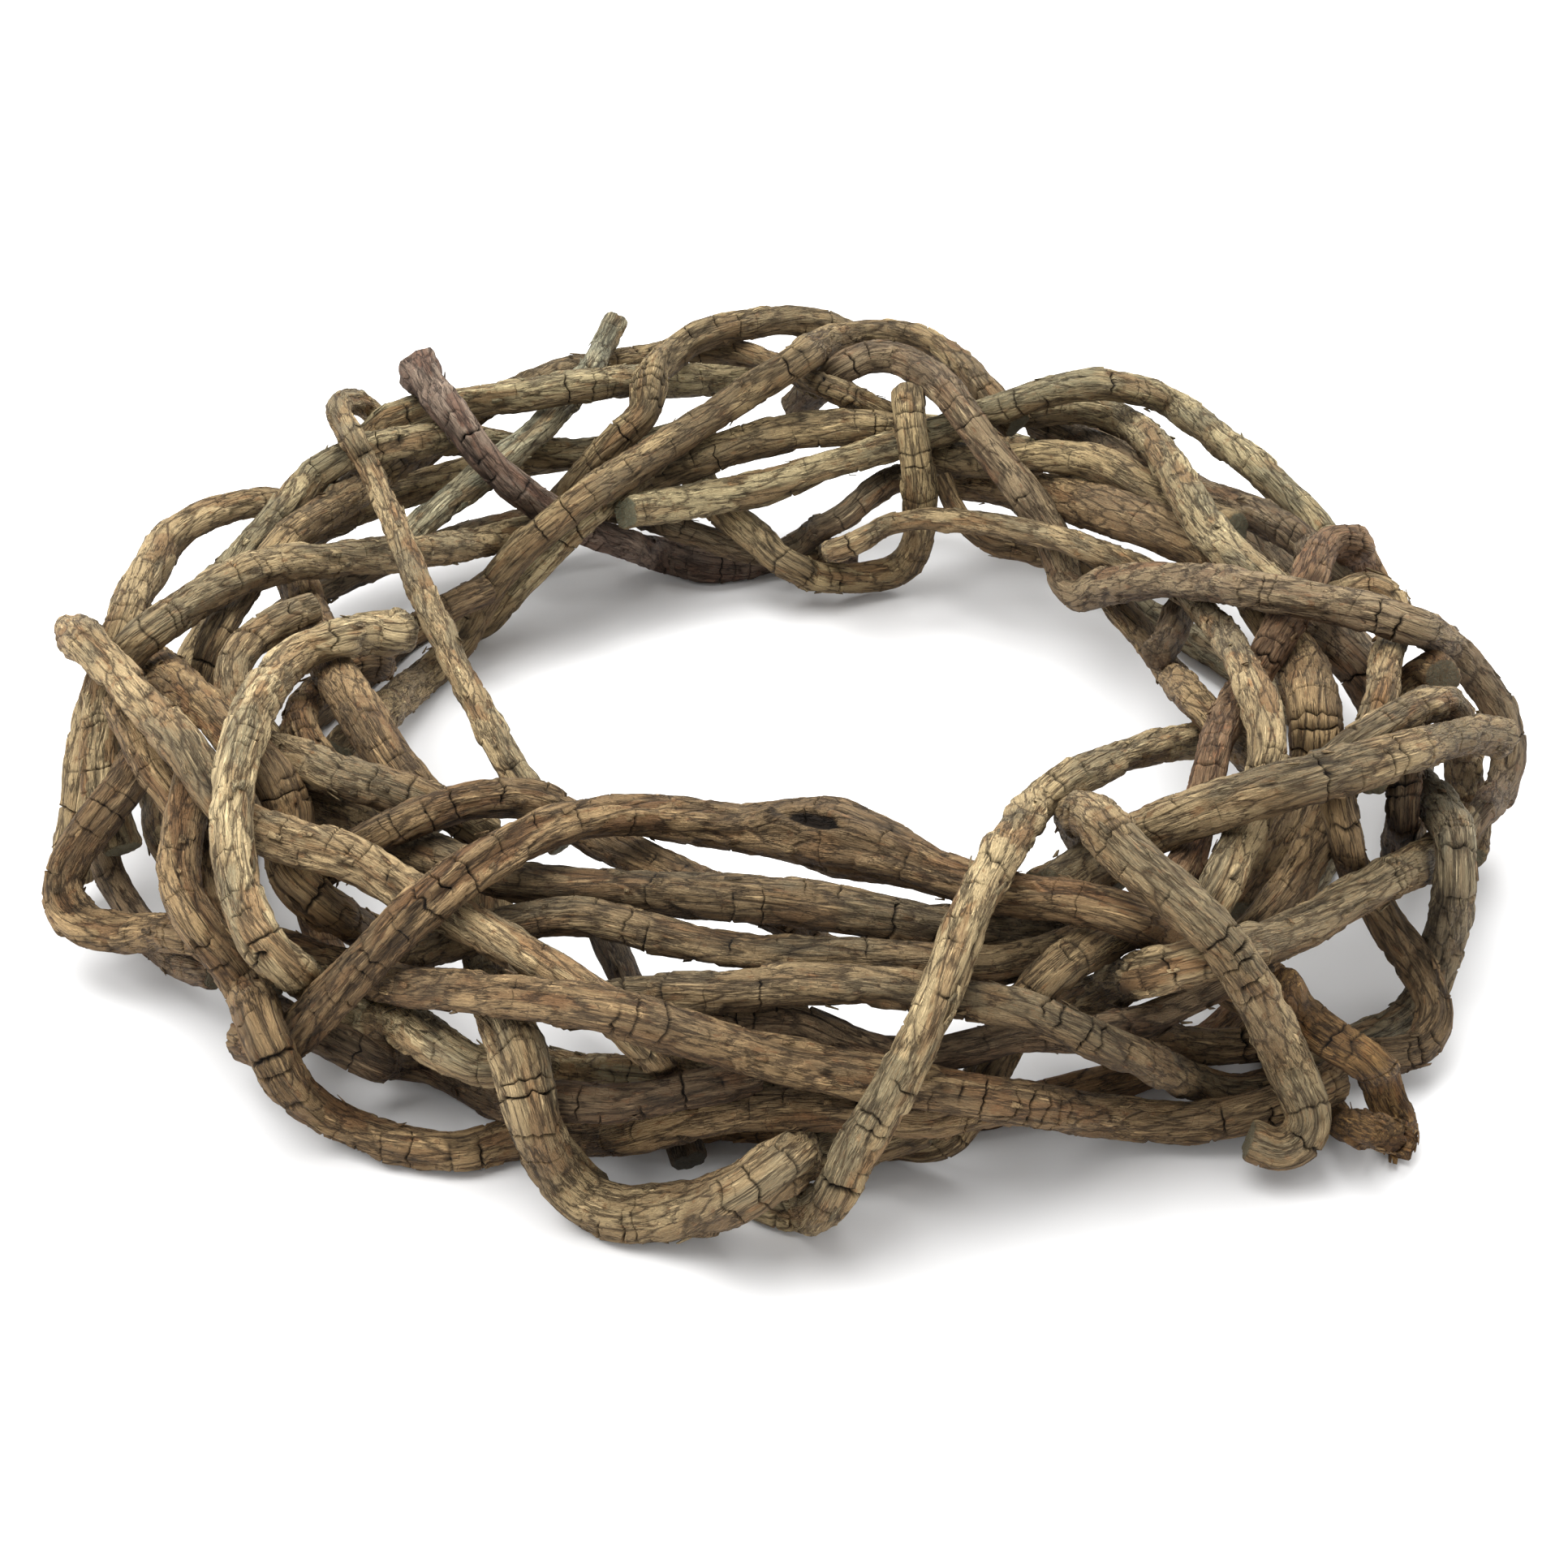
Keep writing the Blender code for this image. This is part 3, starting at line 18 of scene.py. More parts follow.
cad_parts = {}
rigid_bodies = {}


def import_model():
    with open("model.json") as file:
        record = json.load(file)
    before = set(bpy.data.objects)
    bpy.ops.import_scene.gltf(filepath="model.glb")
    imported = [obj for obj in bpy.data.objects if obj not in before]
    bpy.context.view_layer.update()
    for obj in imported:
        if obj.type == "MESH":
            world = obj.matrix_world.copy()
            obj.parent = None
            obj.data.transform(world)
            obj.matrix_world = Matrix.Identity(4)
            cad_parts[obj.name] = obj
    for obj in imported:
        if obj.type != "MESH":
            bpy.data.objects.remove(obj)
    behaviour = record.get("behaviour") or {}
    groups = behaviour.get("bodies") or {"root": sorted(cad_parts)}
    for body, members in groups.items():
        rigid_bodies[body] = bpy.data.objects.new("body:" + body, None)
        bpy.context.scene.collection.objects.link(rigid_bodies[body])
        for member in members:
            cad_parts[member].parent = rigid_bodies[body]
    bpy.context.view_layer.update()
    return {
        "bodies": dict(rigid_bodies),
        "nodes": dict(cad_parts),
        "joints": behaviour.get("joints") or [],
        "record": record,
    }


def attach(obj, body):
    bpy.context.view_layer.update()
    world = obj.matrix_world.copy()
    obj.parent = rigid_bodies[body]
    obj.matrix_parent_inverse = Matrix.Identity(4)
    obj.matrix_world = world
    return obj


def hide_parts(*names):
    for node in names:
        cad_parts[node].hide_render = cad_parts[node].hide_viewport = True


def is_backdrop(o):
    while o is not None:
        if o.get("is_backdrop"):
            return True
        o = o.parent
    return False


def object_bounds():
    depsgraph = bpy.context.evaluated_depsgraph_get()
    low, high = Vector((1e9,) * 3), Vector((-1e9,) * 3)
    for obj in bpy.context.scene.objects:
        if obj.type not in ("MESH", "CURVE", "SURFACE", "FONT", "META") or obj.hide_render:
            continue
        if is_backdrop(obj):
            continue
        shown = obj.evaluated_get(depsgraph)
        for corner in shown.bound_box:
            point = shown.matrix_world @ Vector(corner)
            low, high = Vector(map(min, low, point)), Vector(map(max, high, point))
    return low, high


LOG = logging.getLogger("wreath")
MM = 0.001

Colour = tuple[float, float, float]
Place = tuple[float, float, float]
Size = tuple[float, float, float]
Range = tuple[float, float]
Array = np.ndarray


def placed(name: str, data: bpy.types.ID) -> bpy.types.Object:
    """Makes an object and links it to the scene.

    Args:
        name: its name.
        data: its mesh, lamp or lens.

    Returns:
        The object.
    """
    made = bpy.data.objects.new(name, data)
    bpy.context.scene.collection.objects.link(made)
    return made


class EndStyle(Enum):
    """How a vine's ends look."""

    CUT = "cut"
    TORN = "torn"


class Wire:
    """One value or vector of a material's tree, with arithmetic that adds the nodes."""

    def __init__(self, tree: "BarkTree", socket: bpy.types.NodeSocket) -> None:
        """Keeps the tree and the output socket."""
        self.tree = tree
        self.socket = socket

    def _math(self, operation: str, *values: "Wire | float", clamp: bool = False) -> "Wire":
        """A Math node on these values.

        Args:
            operation: the node's operation.
            values: its inputs, in order.
            clamp: whether the result is kept between 0 and 1.

        Returns:
            The node's value.
        """
        settings = {"operation": operation, "use_clamp": clamp}
        return self.tree.node("ShaderNodeMath", settings, dict(enumerate(values)), 0)

    def __add__(self, other: "Wire | float") -> "Wire":
        """The sum."""
        return self._math("ADD", self, other)

    def __radd__(self, other: float) -> "Wire":
        """The sum, with the number first."""
        return self._math("ADD", other, self)

    def __sub__(self, other: "Wire | float") -> "Wire":
        """The difference."""
        return self._math("SUBTRACT", self, other)

    def __rsub__(self, other: float) -> "Wire":
        """The difference, with the number first."""
        return self._math("SUBTRACT", other, self)

    def __mul__(self, other: "Wire | float") -> "Wire":
        """The product."""
        return self._math("MULTIPLY", self, other)

    def __rmul__(self, other: float) -> "Wire":
        """The product, with the number first."""
        return self._math("MULTIPLY", other, self)

    def clamped(self) -> "Wire":
        """The value kept between 0 and 1."""
        return self._math("ADD", self, 0.0, clamp=True)

    def size(self) -> "Wire":
        """The value without its sign."""
        return self._math("ABSOLUTE", self)

    def between(self, low: float, high: float) -> "Wire":
        """A smooth step between two values.

        Args:
            low: where it is 0.
            high: where it is 1. Below low, the step falls.

        Returns:
            The step.
        """
        settings = {"interpolation_type": "SMOOTHSTEP", "clamp": True}
        inputs = {0: self, 1: min(low, high), 2: max(low, high)}
        inputs[3], inputs[4] = (0.0, 1.0) if low < high else (1.0, 0.0)
        return self.tree.node("ShaderNodeMapRange", settings, inputs, 0)


class BarkTree:
    """A material and the ways its nodes are added."""

    def __init__(self, name: str) -> None:
        """Starts the material with its Principled surface.

        Args:
            name: the material's name.
        """
        self.material = bpy.data.materials.new(name)
        self.material.use_nodes = True
        self.nodes = self.material.node_tree.nodes
        self.links = self.material.node_tree.links
        self.surface = self.nodes["Principled BSDF"]

    def node(self, kind: str, settings: dict, inputs: dict, output: int | str) -> Wire:
        """Adds one node.

        Args:
            kind: the node's type.
            settings: its properties, set first.
            inputs: a value or a Wire for each input, by number or name.
            output: which output is wanted.

        Returns:
            That output.
        """
        made = self.nodes.new(kind)
        for key, value in settings.items():
            setattr(made, key, value)
        for key, value in inputs.items():
            self.feed(made.inputs[key], value)
        return Wire(self, made.outputs[output])

    def feed(self, socket: bpy.types.NodeSocket, value: "Wire | float | tuple") -> None:
        """Links a Wire into a socket, or sets the socket's own value.

        Args:
            socket: the input.
            value: what it gets.
        """
        if isinstance(value, Wire):
            self.links.new(value.socket, socket)
        elif isinstance(value, tuple) and len(socket.default_value) == 4:
            socket.default_value = (*value, 1.0)
        else:
            socket.default_value = value

    def attribute(self, name: str) -> Wire:
        """A number stored on the mesh."""
        return self.node("ShaderNodeAttribute", {"attribute_name": name}, {}, "Fac")

    def place(self, name: str, scale: Size) -> Wire:
        """A vector stored on the mesh, stretched.

        Args:
            name: the attribute's name.
            scale: how much each axis is multiplied.

        Returns:
            The stretched vector.
        """
        stored = self.node("ShaderNodeAttribute", {"attribute_name": name}, {}, "Vector")
        return self.node("ShaderNodeVectorMath", {"operation": "MULTIPLY"}, {0: stored, 1: scale}, 0)

    def moved(self, place: Wire, value: Wire, amount: float) -> Wire:
        """A place moved by a varying value, so that what is drawn there wavers.

        Args:
            place: the vector.
            value: a number around 0.5.
            amount: the size of the move.

        Returns:
            The moved vector.
        """
        inputs = {0: value, 1: (amount, -amount, amount), 2: place}
        return self.node("ShaderNodeVectorMath", {"operation": "MULTIPLY_ADD"}, inputs, 0)

    def noise(self, place: Wire, detail: float, roughness: float) -> Wire:
        """Cloudy noise at a place.

        Args:
            place: where it is read.
            detail: how many finer layers it has.
            roughness: how strong those are.

        Returns:
            The noise, about 0.5 in the middle.
        """
        inputs = {"Vector": place, "Scale": 1.0, "Detail": detail, "Roughness": roughness}
        return self.node("ShaderNodeTexNoise", {}, inputs, "Fac")

    def edges(self, place: Wire) -> Wire:
        """The distance from the nearest edge between cells.

        Args:
            place: where it is read.

        Returns:
            The distance, 0 on an edge.
        """
        inputs = {"Vector": place, "Scale": 1.0}
        return self.node("ShaderNodeTexVoronoi", {"feature": "DISTANCE_TO_EDGE"}, inputs, "Distance")

    def mix(self, share: Wire | float, first: Wire | Colour, second: Wire | Colour,
            blend: str = "MIX") -> Wire:
        """A mix of two colours.

        Args:
            share: how much of the second.
            first: a colour.
            second: a colour.
            blend: the way they mix.

        Returns:
            The mixed colour.
        """
        settings = {"data_type": "RGBA", "blend_type": blend, "clamp_factor": True}
        return self.node("ShaderNodeMix", settings, {0: share, 6: first, 7: second}, 2)

    def bump(self, height: Wire, distance: float) -> Wire:
        """A bumped normal.

        Args:
            height: the height, in steps of the distance.
            distance: how high 1 stands, in metres.

        Returns:
            The normal.
        """
        inputs = {"Height": height, "Distance": distance, "Strength": 1.0}
        return self.node("ShaderNodeBump", {}, inputs, "Normal")


@dataclass(frozen=True)
class BarkLayers:
    """What varies over bark: values stored on the mesh, and patterns drawn along the stem.

    The patterns' constants say how often each repeats in a millimetre, twice across the stem and once
    along it.
    """

    crack: Wire
    cavity_shade: Wire
    plate: Wire
    patch: Wire
    under: Wire
    wood: Wire
    grain: Wire
    fibres: Wire
    rust: Wire
    plate_edge: Wire
    hair_edge: Wire

    STORED = ("crack", "cavity_shade", "plate", "patch", "under", "wood")
    GRAIN = (0.95, 0.95, 0.075)
    FIBRES = (3.1, 3.1, 0.33)
    RUST = (0.42, 0.42, 0.2)
    PLATES = (0.27, 0.27, 0.062)
    PLATES_WAVER = 1.7
    HAIRS = (0.085, 0.085, 0.21)
    HAIRS_WAVER = 0.75

    @classmethod
    def of(cls, tree: BarkTree) -> "BarkLayers":
        """Adds the layers to a material.

        Args:
            tree: the material.

        Returns:
            The layers.
        """
        stored = {name: tree.attribute(name) for name in cls.STORED}
        grain = tree.noise(tree.place("bark", cls.GRAIN), 4.0, 0.66)
        fibres = tree.noise(tree.place("bark", cls.FIBRES), 3.0, 0.62)
        rust = tree.noise(tree.place("bark", cls.RUST), 2.0, 0.6)
        plate_edge = tree.edges(tree.moved(tree.place("bark", cls.PLATES), grain, cls.PLATES_WAVER))
        hair_edge = tree.edges(tree.moved(tree.place("bark", cls.HAIRS), grain, cls.HAIRS_WAVER))
        return cls(**stored, grain=grain, fibres=fibres, rust=rust, plate_edge=plate_edge,
                   hair_edge=hair_edge)

    def split(self) -> Wire:
        """How far a place is from a split along the grain."""
        return (self.grain - 0.5).size()


@dataclass(frozen=True)
class BarkFinish:
    """One kind of bark: its colours and how strongly its grain and cracks show."""

    ridge: Colour
    body: Colour
    warm: Colour
    furrow: Colour
    fibre: Colour
    lichen: float = 0.25
    grain: float = 0.42
    hairlines: float = 0.8
    roughness: float = 0.78

    WARM_SHARE = 0.6
    RUST_SHARE = 0.65
    # SHADE_SHARE, SHADE_OF_BODY and SHADE_OF_WARM set the painted shade on the undersides.
    SHADE_SHARE = 0.7
    LINE_SHARE = 0.85
    CAVITY_SHADE_SHARE = 0.6
    SHADE_OF_BODY = 0.45
    SHADE_OF_WARM = 0.2
    # How dark the painted shade in cracks, recesses and pits is, as a share of the furrow colour.
    BLACK_OF_FURROW = 0.3
    ROUGHNESS_RANGE = 0.3
    BUMP_HEIGHT = 0.0016
    SPECULAR = 0.3

    def sound_bark(self, tree: BarkTree, bark: BarkLayers) -> Wire:
        """The colour between the cracks: pale ridges, rusty places, lichen above and painted shade below.

        Args:
            tree: the material.
            bark: its layers.

        Returns:
            The colour.
        """
        lifted = (0.5 + (bark.grain - 0.5) * 1.3 + (bark.plate - 0.5) * 0.35 + (bark.fibres - 0.5) * 0.7
                  + (bark.patch - 0.5) * 0.5)
        tone = tree.mix(lifted.between(0.2, 0.98), self.body, self.ridge)
        low_plate = bark.plate.between(0.5, 0.0) * bark.patch.between(0.3, 0.7)
        tone = tree.mix(low_plate * self.WARM_SHARE, tone, self.warm)
        tone = tree.mix(bark.rust.between(0.58, 0.7) * self.RUST_SHARE, tone, self.warm)
        weathered = bark.patch.between(0.52, 0.3) * bark.under.between(0.7, 0.3) * self.lichen
        tone = tree.mix(weathered * bark.fibres.between(0.3, 0.55), tone, self.fibre)
        # Painted shade: the undersides are darkened towards a shaded brown.
        underside_shade = tuple(self.SHADE_OF_BODY * body + self.SHADE_OF_WARM * warm
                       for body, warm in zip(self.body, self.warm))
        return tree.mix(bark.under.between(0.4, 1.0) * self.SHADE_SHARE, tone, underside_shade)

    def dark_lines(self, bark: BarkLayers) -> Wire:
        """How dark the splits along the grain, the plates' seams and the fine cross cracks are.

        Args:
            bark: the material's layers.

        Returns:
            The darkness, from 0 to 1.
        """
        lines = bark.split().between(0.034, 0.004) * bark.patch.between(0.2, 0.5)
        lines = lines + (bark.fibres - 0.5).size().between(0.03, 0.0) * 0.3
        lines = lines + bark.grain.between(0.4, 0.3) * 0.25
        seams = bark.plate_edge.between(0.09, 0.01) * bark.grain.between(0.62, 0.48) * 0.6
        seams = seams + bark.plate_edge.between(0.03, 0.012) * 0.7
        hairs = bark.hair_edge.between(0.022, 0.006) * bark.fibres.between(0.4, 0.48)
        hairs = hairs * bark.rust.between(0.45, 0.56) * self.hairlines
        return (lines * self.grain + seams + hairs).clamped()

    def height(self, bark: BarkLayers) -> Wire:
        """The height of the finest grain, for the bump.

        Args:
            bark: the material's layers.

        Returns:
            The height, about 0 to 3.
        """
        ridges = bark.split().between(0.0, 0.14) * 0.5 + bark.grain * 0.8 + bark.fibres * 0.35
        return ridges + bark.plate_edge.between(0.0, 0.11) * 1.2

    def material(self, name: str) -> bpy.types.Material:
        """Makes the material.

        Args:
            name: its name.

        Returns:
            The material.
        """
        tree = BarkTree(name)
        bark = BarkLayers.of(tree)
        tone = self.sound_bark(tree, bark)
        tone = tree.mix(self.dark_lines(bark) * self.LINE_SHARE, tone, self.furrow)
        # Painted shade: the cracks, furrows, seams, hollows and the scars' pits are darkened towards black.
        depth = bark.crack * 1.1 + bark.cavity_shade.between(0.5, 1.0) * self.CAVITY_SHADE_SHARE
        recess_shade = tuple(self.BLACK_OF_FURROW * part for part in self.furrow)
        tone = tree.mix(depth.clamped(), tone, recess_shade)
        end_wood = tree.mix(bark.fibres.between(0.3, 0.6), self.body, self.fibre)
        tone = tree.mix(bark.wood, tone, end_wood)
        # The vine's tint, which holds painted shade on bottom_cross and painted light towards the back.
        tone = tree.mix(1.0, tone, tree.place("tint", (1.0, 1.0, 1.0)), "MULTIPLY")
        roughness = self.roughness + (bark.fibres - 0.5) * self.ROUGHNESS_RANGE
        tree.feed(tree.surface.inputs["Base Color"], tone)
        tree.feed(tree.surface.inputs["Roughness"], roughness)
        tree.feed(tree.surface.inputs["Normal"], tree.bump(self.height(bark), self.BUMP_HEIGHT))
        tree.surface.inputs["Specular IOR Level"].default_value = self.SPECULAR
        return tree.material


BARKS = {
    "khaki_bark": BarkFinish((0.655, 0.482, 0.255), (0.275, 0.18, 0.0847), (0.312, 0.155, 0.06),
                             (0.0682, 0.04, 0.018), (0.253, 0.234, 0.15), lichen=0.45),
    "tan_bark": BarkFinish((0.644, 0.431, 0.198), (0.286, 0.174, 0.0765), (0.338, 0.155, 0.056),
                           (0.0726, 0.04, 0.018), (0.242, 0.213, 0.13)),
    "brown_bark": BarkFinish((0.542, 0.364, 0.177), (0.22, 0.133, 0.0602), (0.25, 0.118, 0.046),
                             (0.0528, 0.0302, 0.014), (0.182, 0.164, 0.105)),
    "dark_bark": BarkFinish((0.339, 0.235, 0.13), (0.165, 0.1, 0.051), (0.213, 0.101, 0.042),
                            (0.044, 0.0259, 0.014), (0.154, 0.142, 0.095)),
    "purple_bark": BarkFinish((0.407, 0.297, 0.187), (0.187, 0.12, 0.0734), (0.237, 0.115, 0.058),
                              (0.0495, 0.0292, 0.018), (0.176, 0.158, 0.115)),
    "red_bark": BarkFinish((0.475, 0.308, 0.161), (0.237, 0.131, 0.0632), (0.312, 0.132, 0.052),
                           (0.0605, 0.0313, 0.016), (0.198, 0.164, 0.11)),
    "grey_bark": BarkFinish((0.475, 0.381, 0.229), (0.259, 0.191, 0.107), (0.3, 0.167, 0.07),
                            (0.0682, 0.0454, 0.024), (0.253, 0.24, 0.165), lichen=0.6),
    "gold_bark": BarkFinish((0.52, 0.314, 0.12), (0.22, 0.12, 0.0459), (0.325, 0.144, 0.045),
                            (0.044, 0.0238, 0.011), (0.165, 0.131, 0.07), grain=1.0),
}


class Scatter:
    """Smooth and cellular random values in space, the same each run for the same seed."""

    SIZE = 256

    def __init__(self, seed: int) -> None:
        """Draws the tables.

        Args:
            seed: the seed of the draws.
        """
        draw = np.random.default_rng(seed)
        self.order = draw.permutation(self.SIZE)
        self.values = draw.random(self.SIZE)
        self.spots = draw.random((self.SIZE, 3))

    def _cell(self, cell: Array, step: tuple[int, int, int]) -> Array:
        """Looks up the table's row for cells.

        Args:
            cell: the cells' corners, one a row.
            step: how many cells away from those, along each axis.

        Returns:
            The rows.
        """
        last = self.SIZE - 1
        row = self.order[(cell[:, 0] + step[0]) & last]
        row = self.order[(row + cell[:, 1] + step[1]) & last]
        return self.order[(row + cell[:, 2] + step[2]) & last]

    def smooth(self, points: Array) -> Array:
        """Smooth values between -1 and 1.

        Args:
            points: the places, one a row.

        Returns:
            A value for each place.
        """
        cell = np.floor(points).astype(np.int64)
        part = points - cell
        part = part * part * (3 - 2 * part)
        total = np.zeros(len(points))
        for step in np.ndindex(2, 2, 2):
            weight = np.ones(len(points))
            for axis in range(3):
                weight *= part[:, axis] if step[axis] else 1 - part[:, axis]
            total += weight * self.values[self._cell(cell, step)]
        return 2 * total - 1

    def cells(self, points: Array) -> tuple[Array, Array, Array]:
        """Cells with ragged edges.

        Args:
            points: the places, one a row.

        Returns:
            How much nearer the nearest spot is than the next one, a random value for its cell, and how
            far along the cell a place lies.
        """
        cell = np.floor(points).astype(np.int64)
        nearest = np.full(len(points), math.inf)
        second = nearest.copy()
        value = np.zeros(len(points))
        lengthwise = np.zeros(len(points))
        for step in np.ndindex(3, 3, 3):
            move = (step[0] - 1, step[1] - 1, step[2] - 1)
            row = self._cell(cell, move)
            offset = points - (cell + move + self.spots[row])
            gap = np.linalg.norm(offset, axis=1)
            closer = gap < nearest
            second = np.where(closer, nearest, np.minimum(second, gap))
            value = np.where(closer, self.values[row], value)
            lengthwise = np.where(closer, offset[:, 2], lengthwise)
            nearest = np.where(closer, gap, nearest)
        return second - nearest, value, lengthwise


@dataclass
class Stem:
    """A vine's centre line and girth, in even steps, with the directions across it."""

    STEP = 0.0005
    KNOT_PARTS = 14
    BEND_WINDOW = 9
    FLATTEST_ROUND = 0.75
    STEEPEST_SIDE = 0.2
    JUST_INSIDE = 0.001

    along: Array
    centre: Array
    radius: Array
    across: Array
    up: Array
    squash: Array
    bend: Array

    @property
    def length(self) -> float:
        """The stem's length in metres."""
        return float(self.along[-1])

    @staticmethod
    def rings_of(node: bpy.types.Object) -> list[Array]:
        """Reads the rings of points of a tube.

        Args:
            node: the frame's tube, closed by one point at each end.

        Returns:
            The points of each ring, from one end to the other.
        """
        mesh = node.data
        flat = np.empty(len(mesh.vertices) * 3, np.float32)
        mesh.vertices.foreach_get("co", flat)
        points, same = np.unique(np.round(flat.reshape(-1, 3), 6), axis=0, return_inverse=True)
        same = same.ravel()
        mesh.calc_loop_triangles()
        near: list[set[int]] = [set() for _ in points]
        for triangle in mesh.loop_triangles:
            corners = [int(same[corner]) for corner in triangle.vertices]
            for corner in corners:
                near[corner].update(corners)
        for tip in range(len(points)):
            walk = [near[tip] - {tip}]
            seen = {tip} | walk[0]
            while walk[-1]:
                ahead = set().union(*(near[corner] for corner in walk[-1])) - seen
                seen |= ahead
                walk.append(ahead)
            rings = walk[:-2]
            if len(walk[-2]) == 1 and len({len(ring) for ring in rings}) == 1:
                return [points[sorted(ring)].astype(float) for ring in rings]
        raise ValueError(node.name + " isn't a tube of even rings")

    @classmethod
    def read(cls, node: bpy.types.Object) -> "Stem":
        """Reads a stem from its tube.

        Args:
            node: the frame's tube.

        Returns:
            The stem.
        """
        rings = cls.rings_of(node)
        middles = np.array([ring.mean(axis=0) for ring in rings])
        girths = [np.linalg.norm(ring - middle, axis=1).max() for ring, middle in zip(rings, middles)]
        flats, sides = [], []
        for ring, middle in zip(rings, middles):
            _, size, axes = np.linalg.svd(ring - middle)
            flats.append(size[1] / size[0])
            sides.append(axes[0])
        line = cls._curve(np.column_stack([middles, girths, flats]))
        places = line[:, :3]
        along = np.concatenate([[0.0], np.cumsum(np.linalg.norm(np.diff(places, axis=0), axis=1))])
        even = np.linspace(0, along[-1], round(along[-1] / cls.STEP) + 1)
        line = np.stack([np.interp(even, along, column) for column in line.T], axis=1)
        centre = line[:, :3]
        tangent = np.gradient(centre, axis=0)
        tangent /= np.linalg.norm(tangent, axis=1)[:, None]
        bend = np.gradient(tangent, even, axis=0)
        kernel = np.full(cls.BEND_WINDOW, 1 / cls.BEND_WINDOW)
        padded = np.pad(bend, ((cls.BEND_WINDOW // 2, cls.BEND_WINDOW // 2), (0, 0)), mode="edge")
        bend = np.stack([np.convolve(column, kernel, "valid") for column in padded.T], 1)
        is_flat = min(flats) < cls.FLATTEST_ROUND
        across = cls._carried(tangent, sides[0] if is_flat else None)
        if is_flat:
            knots = np.linspace(0, len(even) - 1, len(sides)).round().astype(int)
            turned = [side if side @ across[knot] > 0 else -side for side, knot in zip(sides, knots)]
            columns = np.array(turned).T
            across = np.stack([np.interp(even, even[knots], column) for column in columns], axis=1)
            across -= (across * tangent).sum(axis=1)[:, None] * tangent
            across /= np.linalg.norm(across, axis=1)[:, None]
        squash = line[:, 4] if is_flat else np.ones(len(even))
        return cls(even, centre, line[:, 3], across, np.cross(tangent, across), squash, bend)

    @classmethod
    def _curve(cls, knots: Array) -> Array:
        """A centripetal Catmull-Rom curve.

        Args:
            knots: what it passes through, one a row. The first three columns are a place.

        Returns:
            The curve's points, with all the knots' columns.
        """
        whole = np.vstack([2 * knots[0] - knots[1], knots, 2 * knots[-1] - knots[-2]])
        gaps = np.sqrt(np.linalg.norm(np.diff(whole[:, :3], axis=0), axis=1))
        time = np.concatenate([[0.0], np.cumsum(gaps)])
        line = []
        for first in range(len(knots) - 1):
            knot, t = whole[first : first + 4], time[first : first + 4]
            x = np.linspace(t[1], t[2], cls.KNOT_PARTS, endpoint=False)[:, None]
            pairs = [((t[i + 1] - x) * knot[i] + (x - t[i]) * knot[i + 1]) / (t[i + 1] - t[i])
                     for i in range(3)]
            threes = [((t[i + 2] - x) * pairs[i] + (x - t[i]) * pairs[i + 1]) / (t[i + 2] - t[i])
                      for i in range(2)]
            line.append(((t[2] - x) * threes[0] + (x - t[1]) * threes[1]) / (t[2] - t[1]))
        return np.vstack([*line, knots[-1:]])

    @classmethod
    def _carried(cls, tangent: Array, first: Array | None) -> Array:
        """Directions across the stem, turned as little as possible from one step to the next.

        Args:
            tangent: the stem's direction at each step.
            first: the direction across it at the start, or None for a level one.

        Returns:
            The direction across it at each step.
        """
        side = np.cross(tangent[0], (0.0, 0.0, 1.0)) if first is None else first
        if np.linalg.norm(side) < cls.STEEPEST_SIDE:
            side = np.cross(tangent[0], (0.0, 1.0, 0.0))
        sides = []
        for ahead in tangent:
            side = side - side.dot(ahead) * ahead
            side = side / np.linalg.norm(side)
            sides.append(side)
        return np.array(sides)

    def at(self, along: Array) -> tuple[Array, ...]:
        """The centre, radius, across and up directions and squash at distances along the stem.

        Args:
            along: the distances, of any shape.

        Returns:
            An array of that shape for each, with a last axis of three for places and directions.
        """
        last = len(self.along) - 1
        spot = np.clip(along * (last / self.length), 0, last - self.JUST_INSIDE)
        low = spot.astype(int)
        part = spot - low
        result = []
        for values in (self.centre, self.radius, self.across, self.up, self.squash):
            share = part[..., None] if values.ndim == 2 else part
            result.append((1 - share) * values[low] + share * values[low + 1])
        return tuple(result)


@dataclass(frozen=True)
class Crack:
    """One crack across a stem."""

    along: float
    middle: float
    spread: float
    depth: float
    gap: float


@dataclass(frozen=True)
class Scar:
    """An eye-shaped scar or knot: where the photograph's view shows it, and its sizes in metres."""

    column: float
    row: float
    length: float
    width: float
    depth: float
    rim: float
    swell: float = 0.0


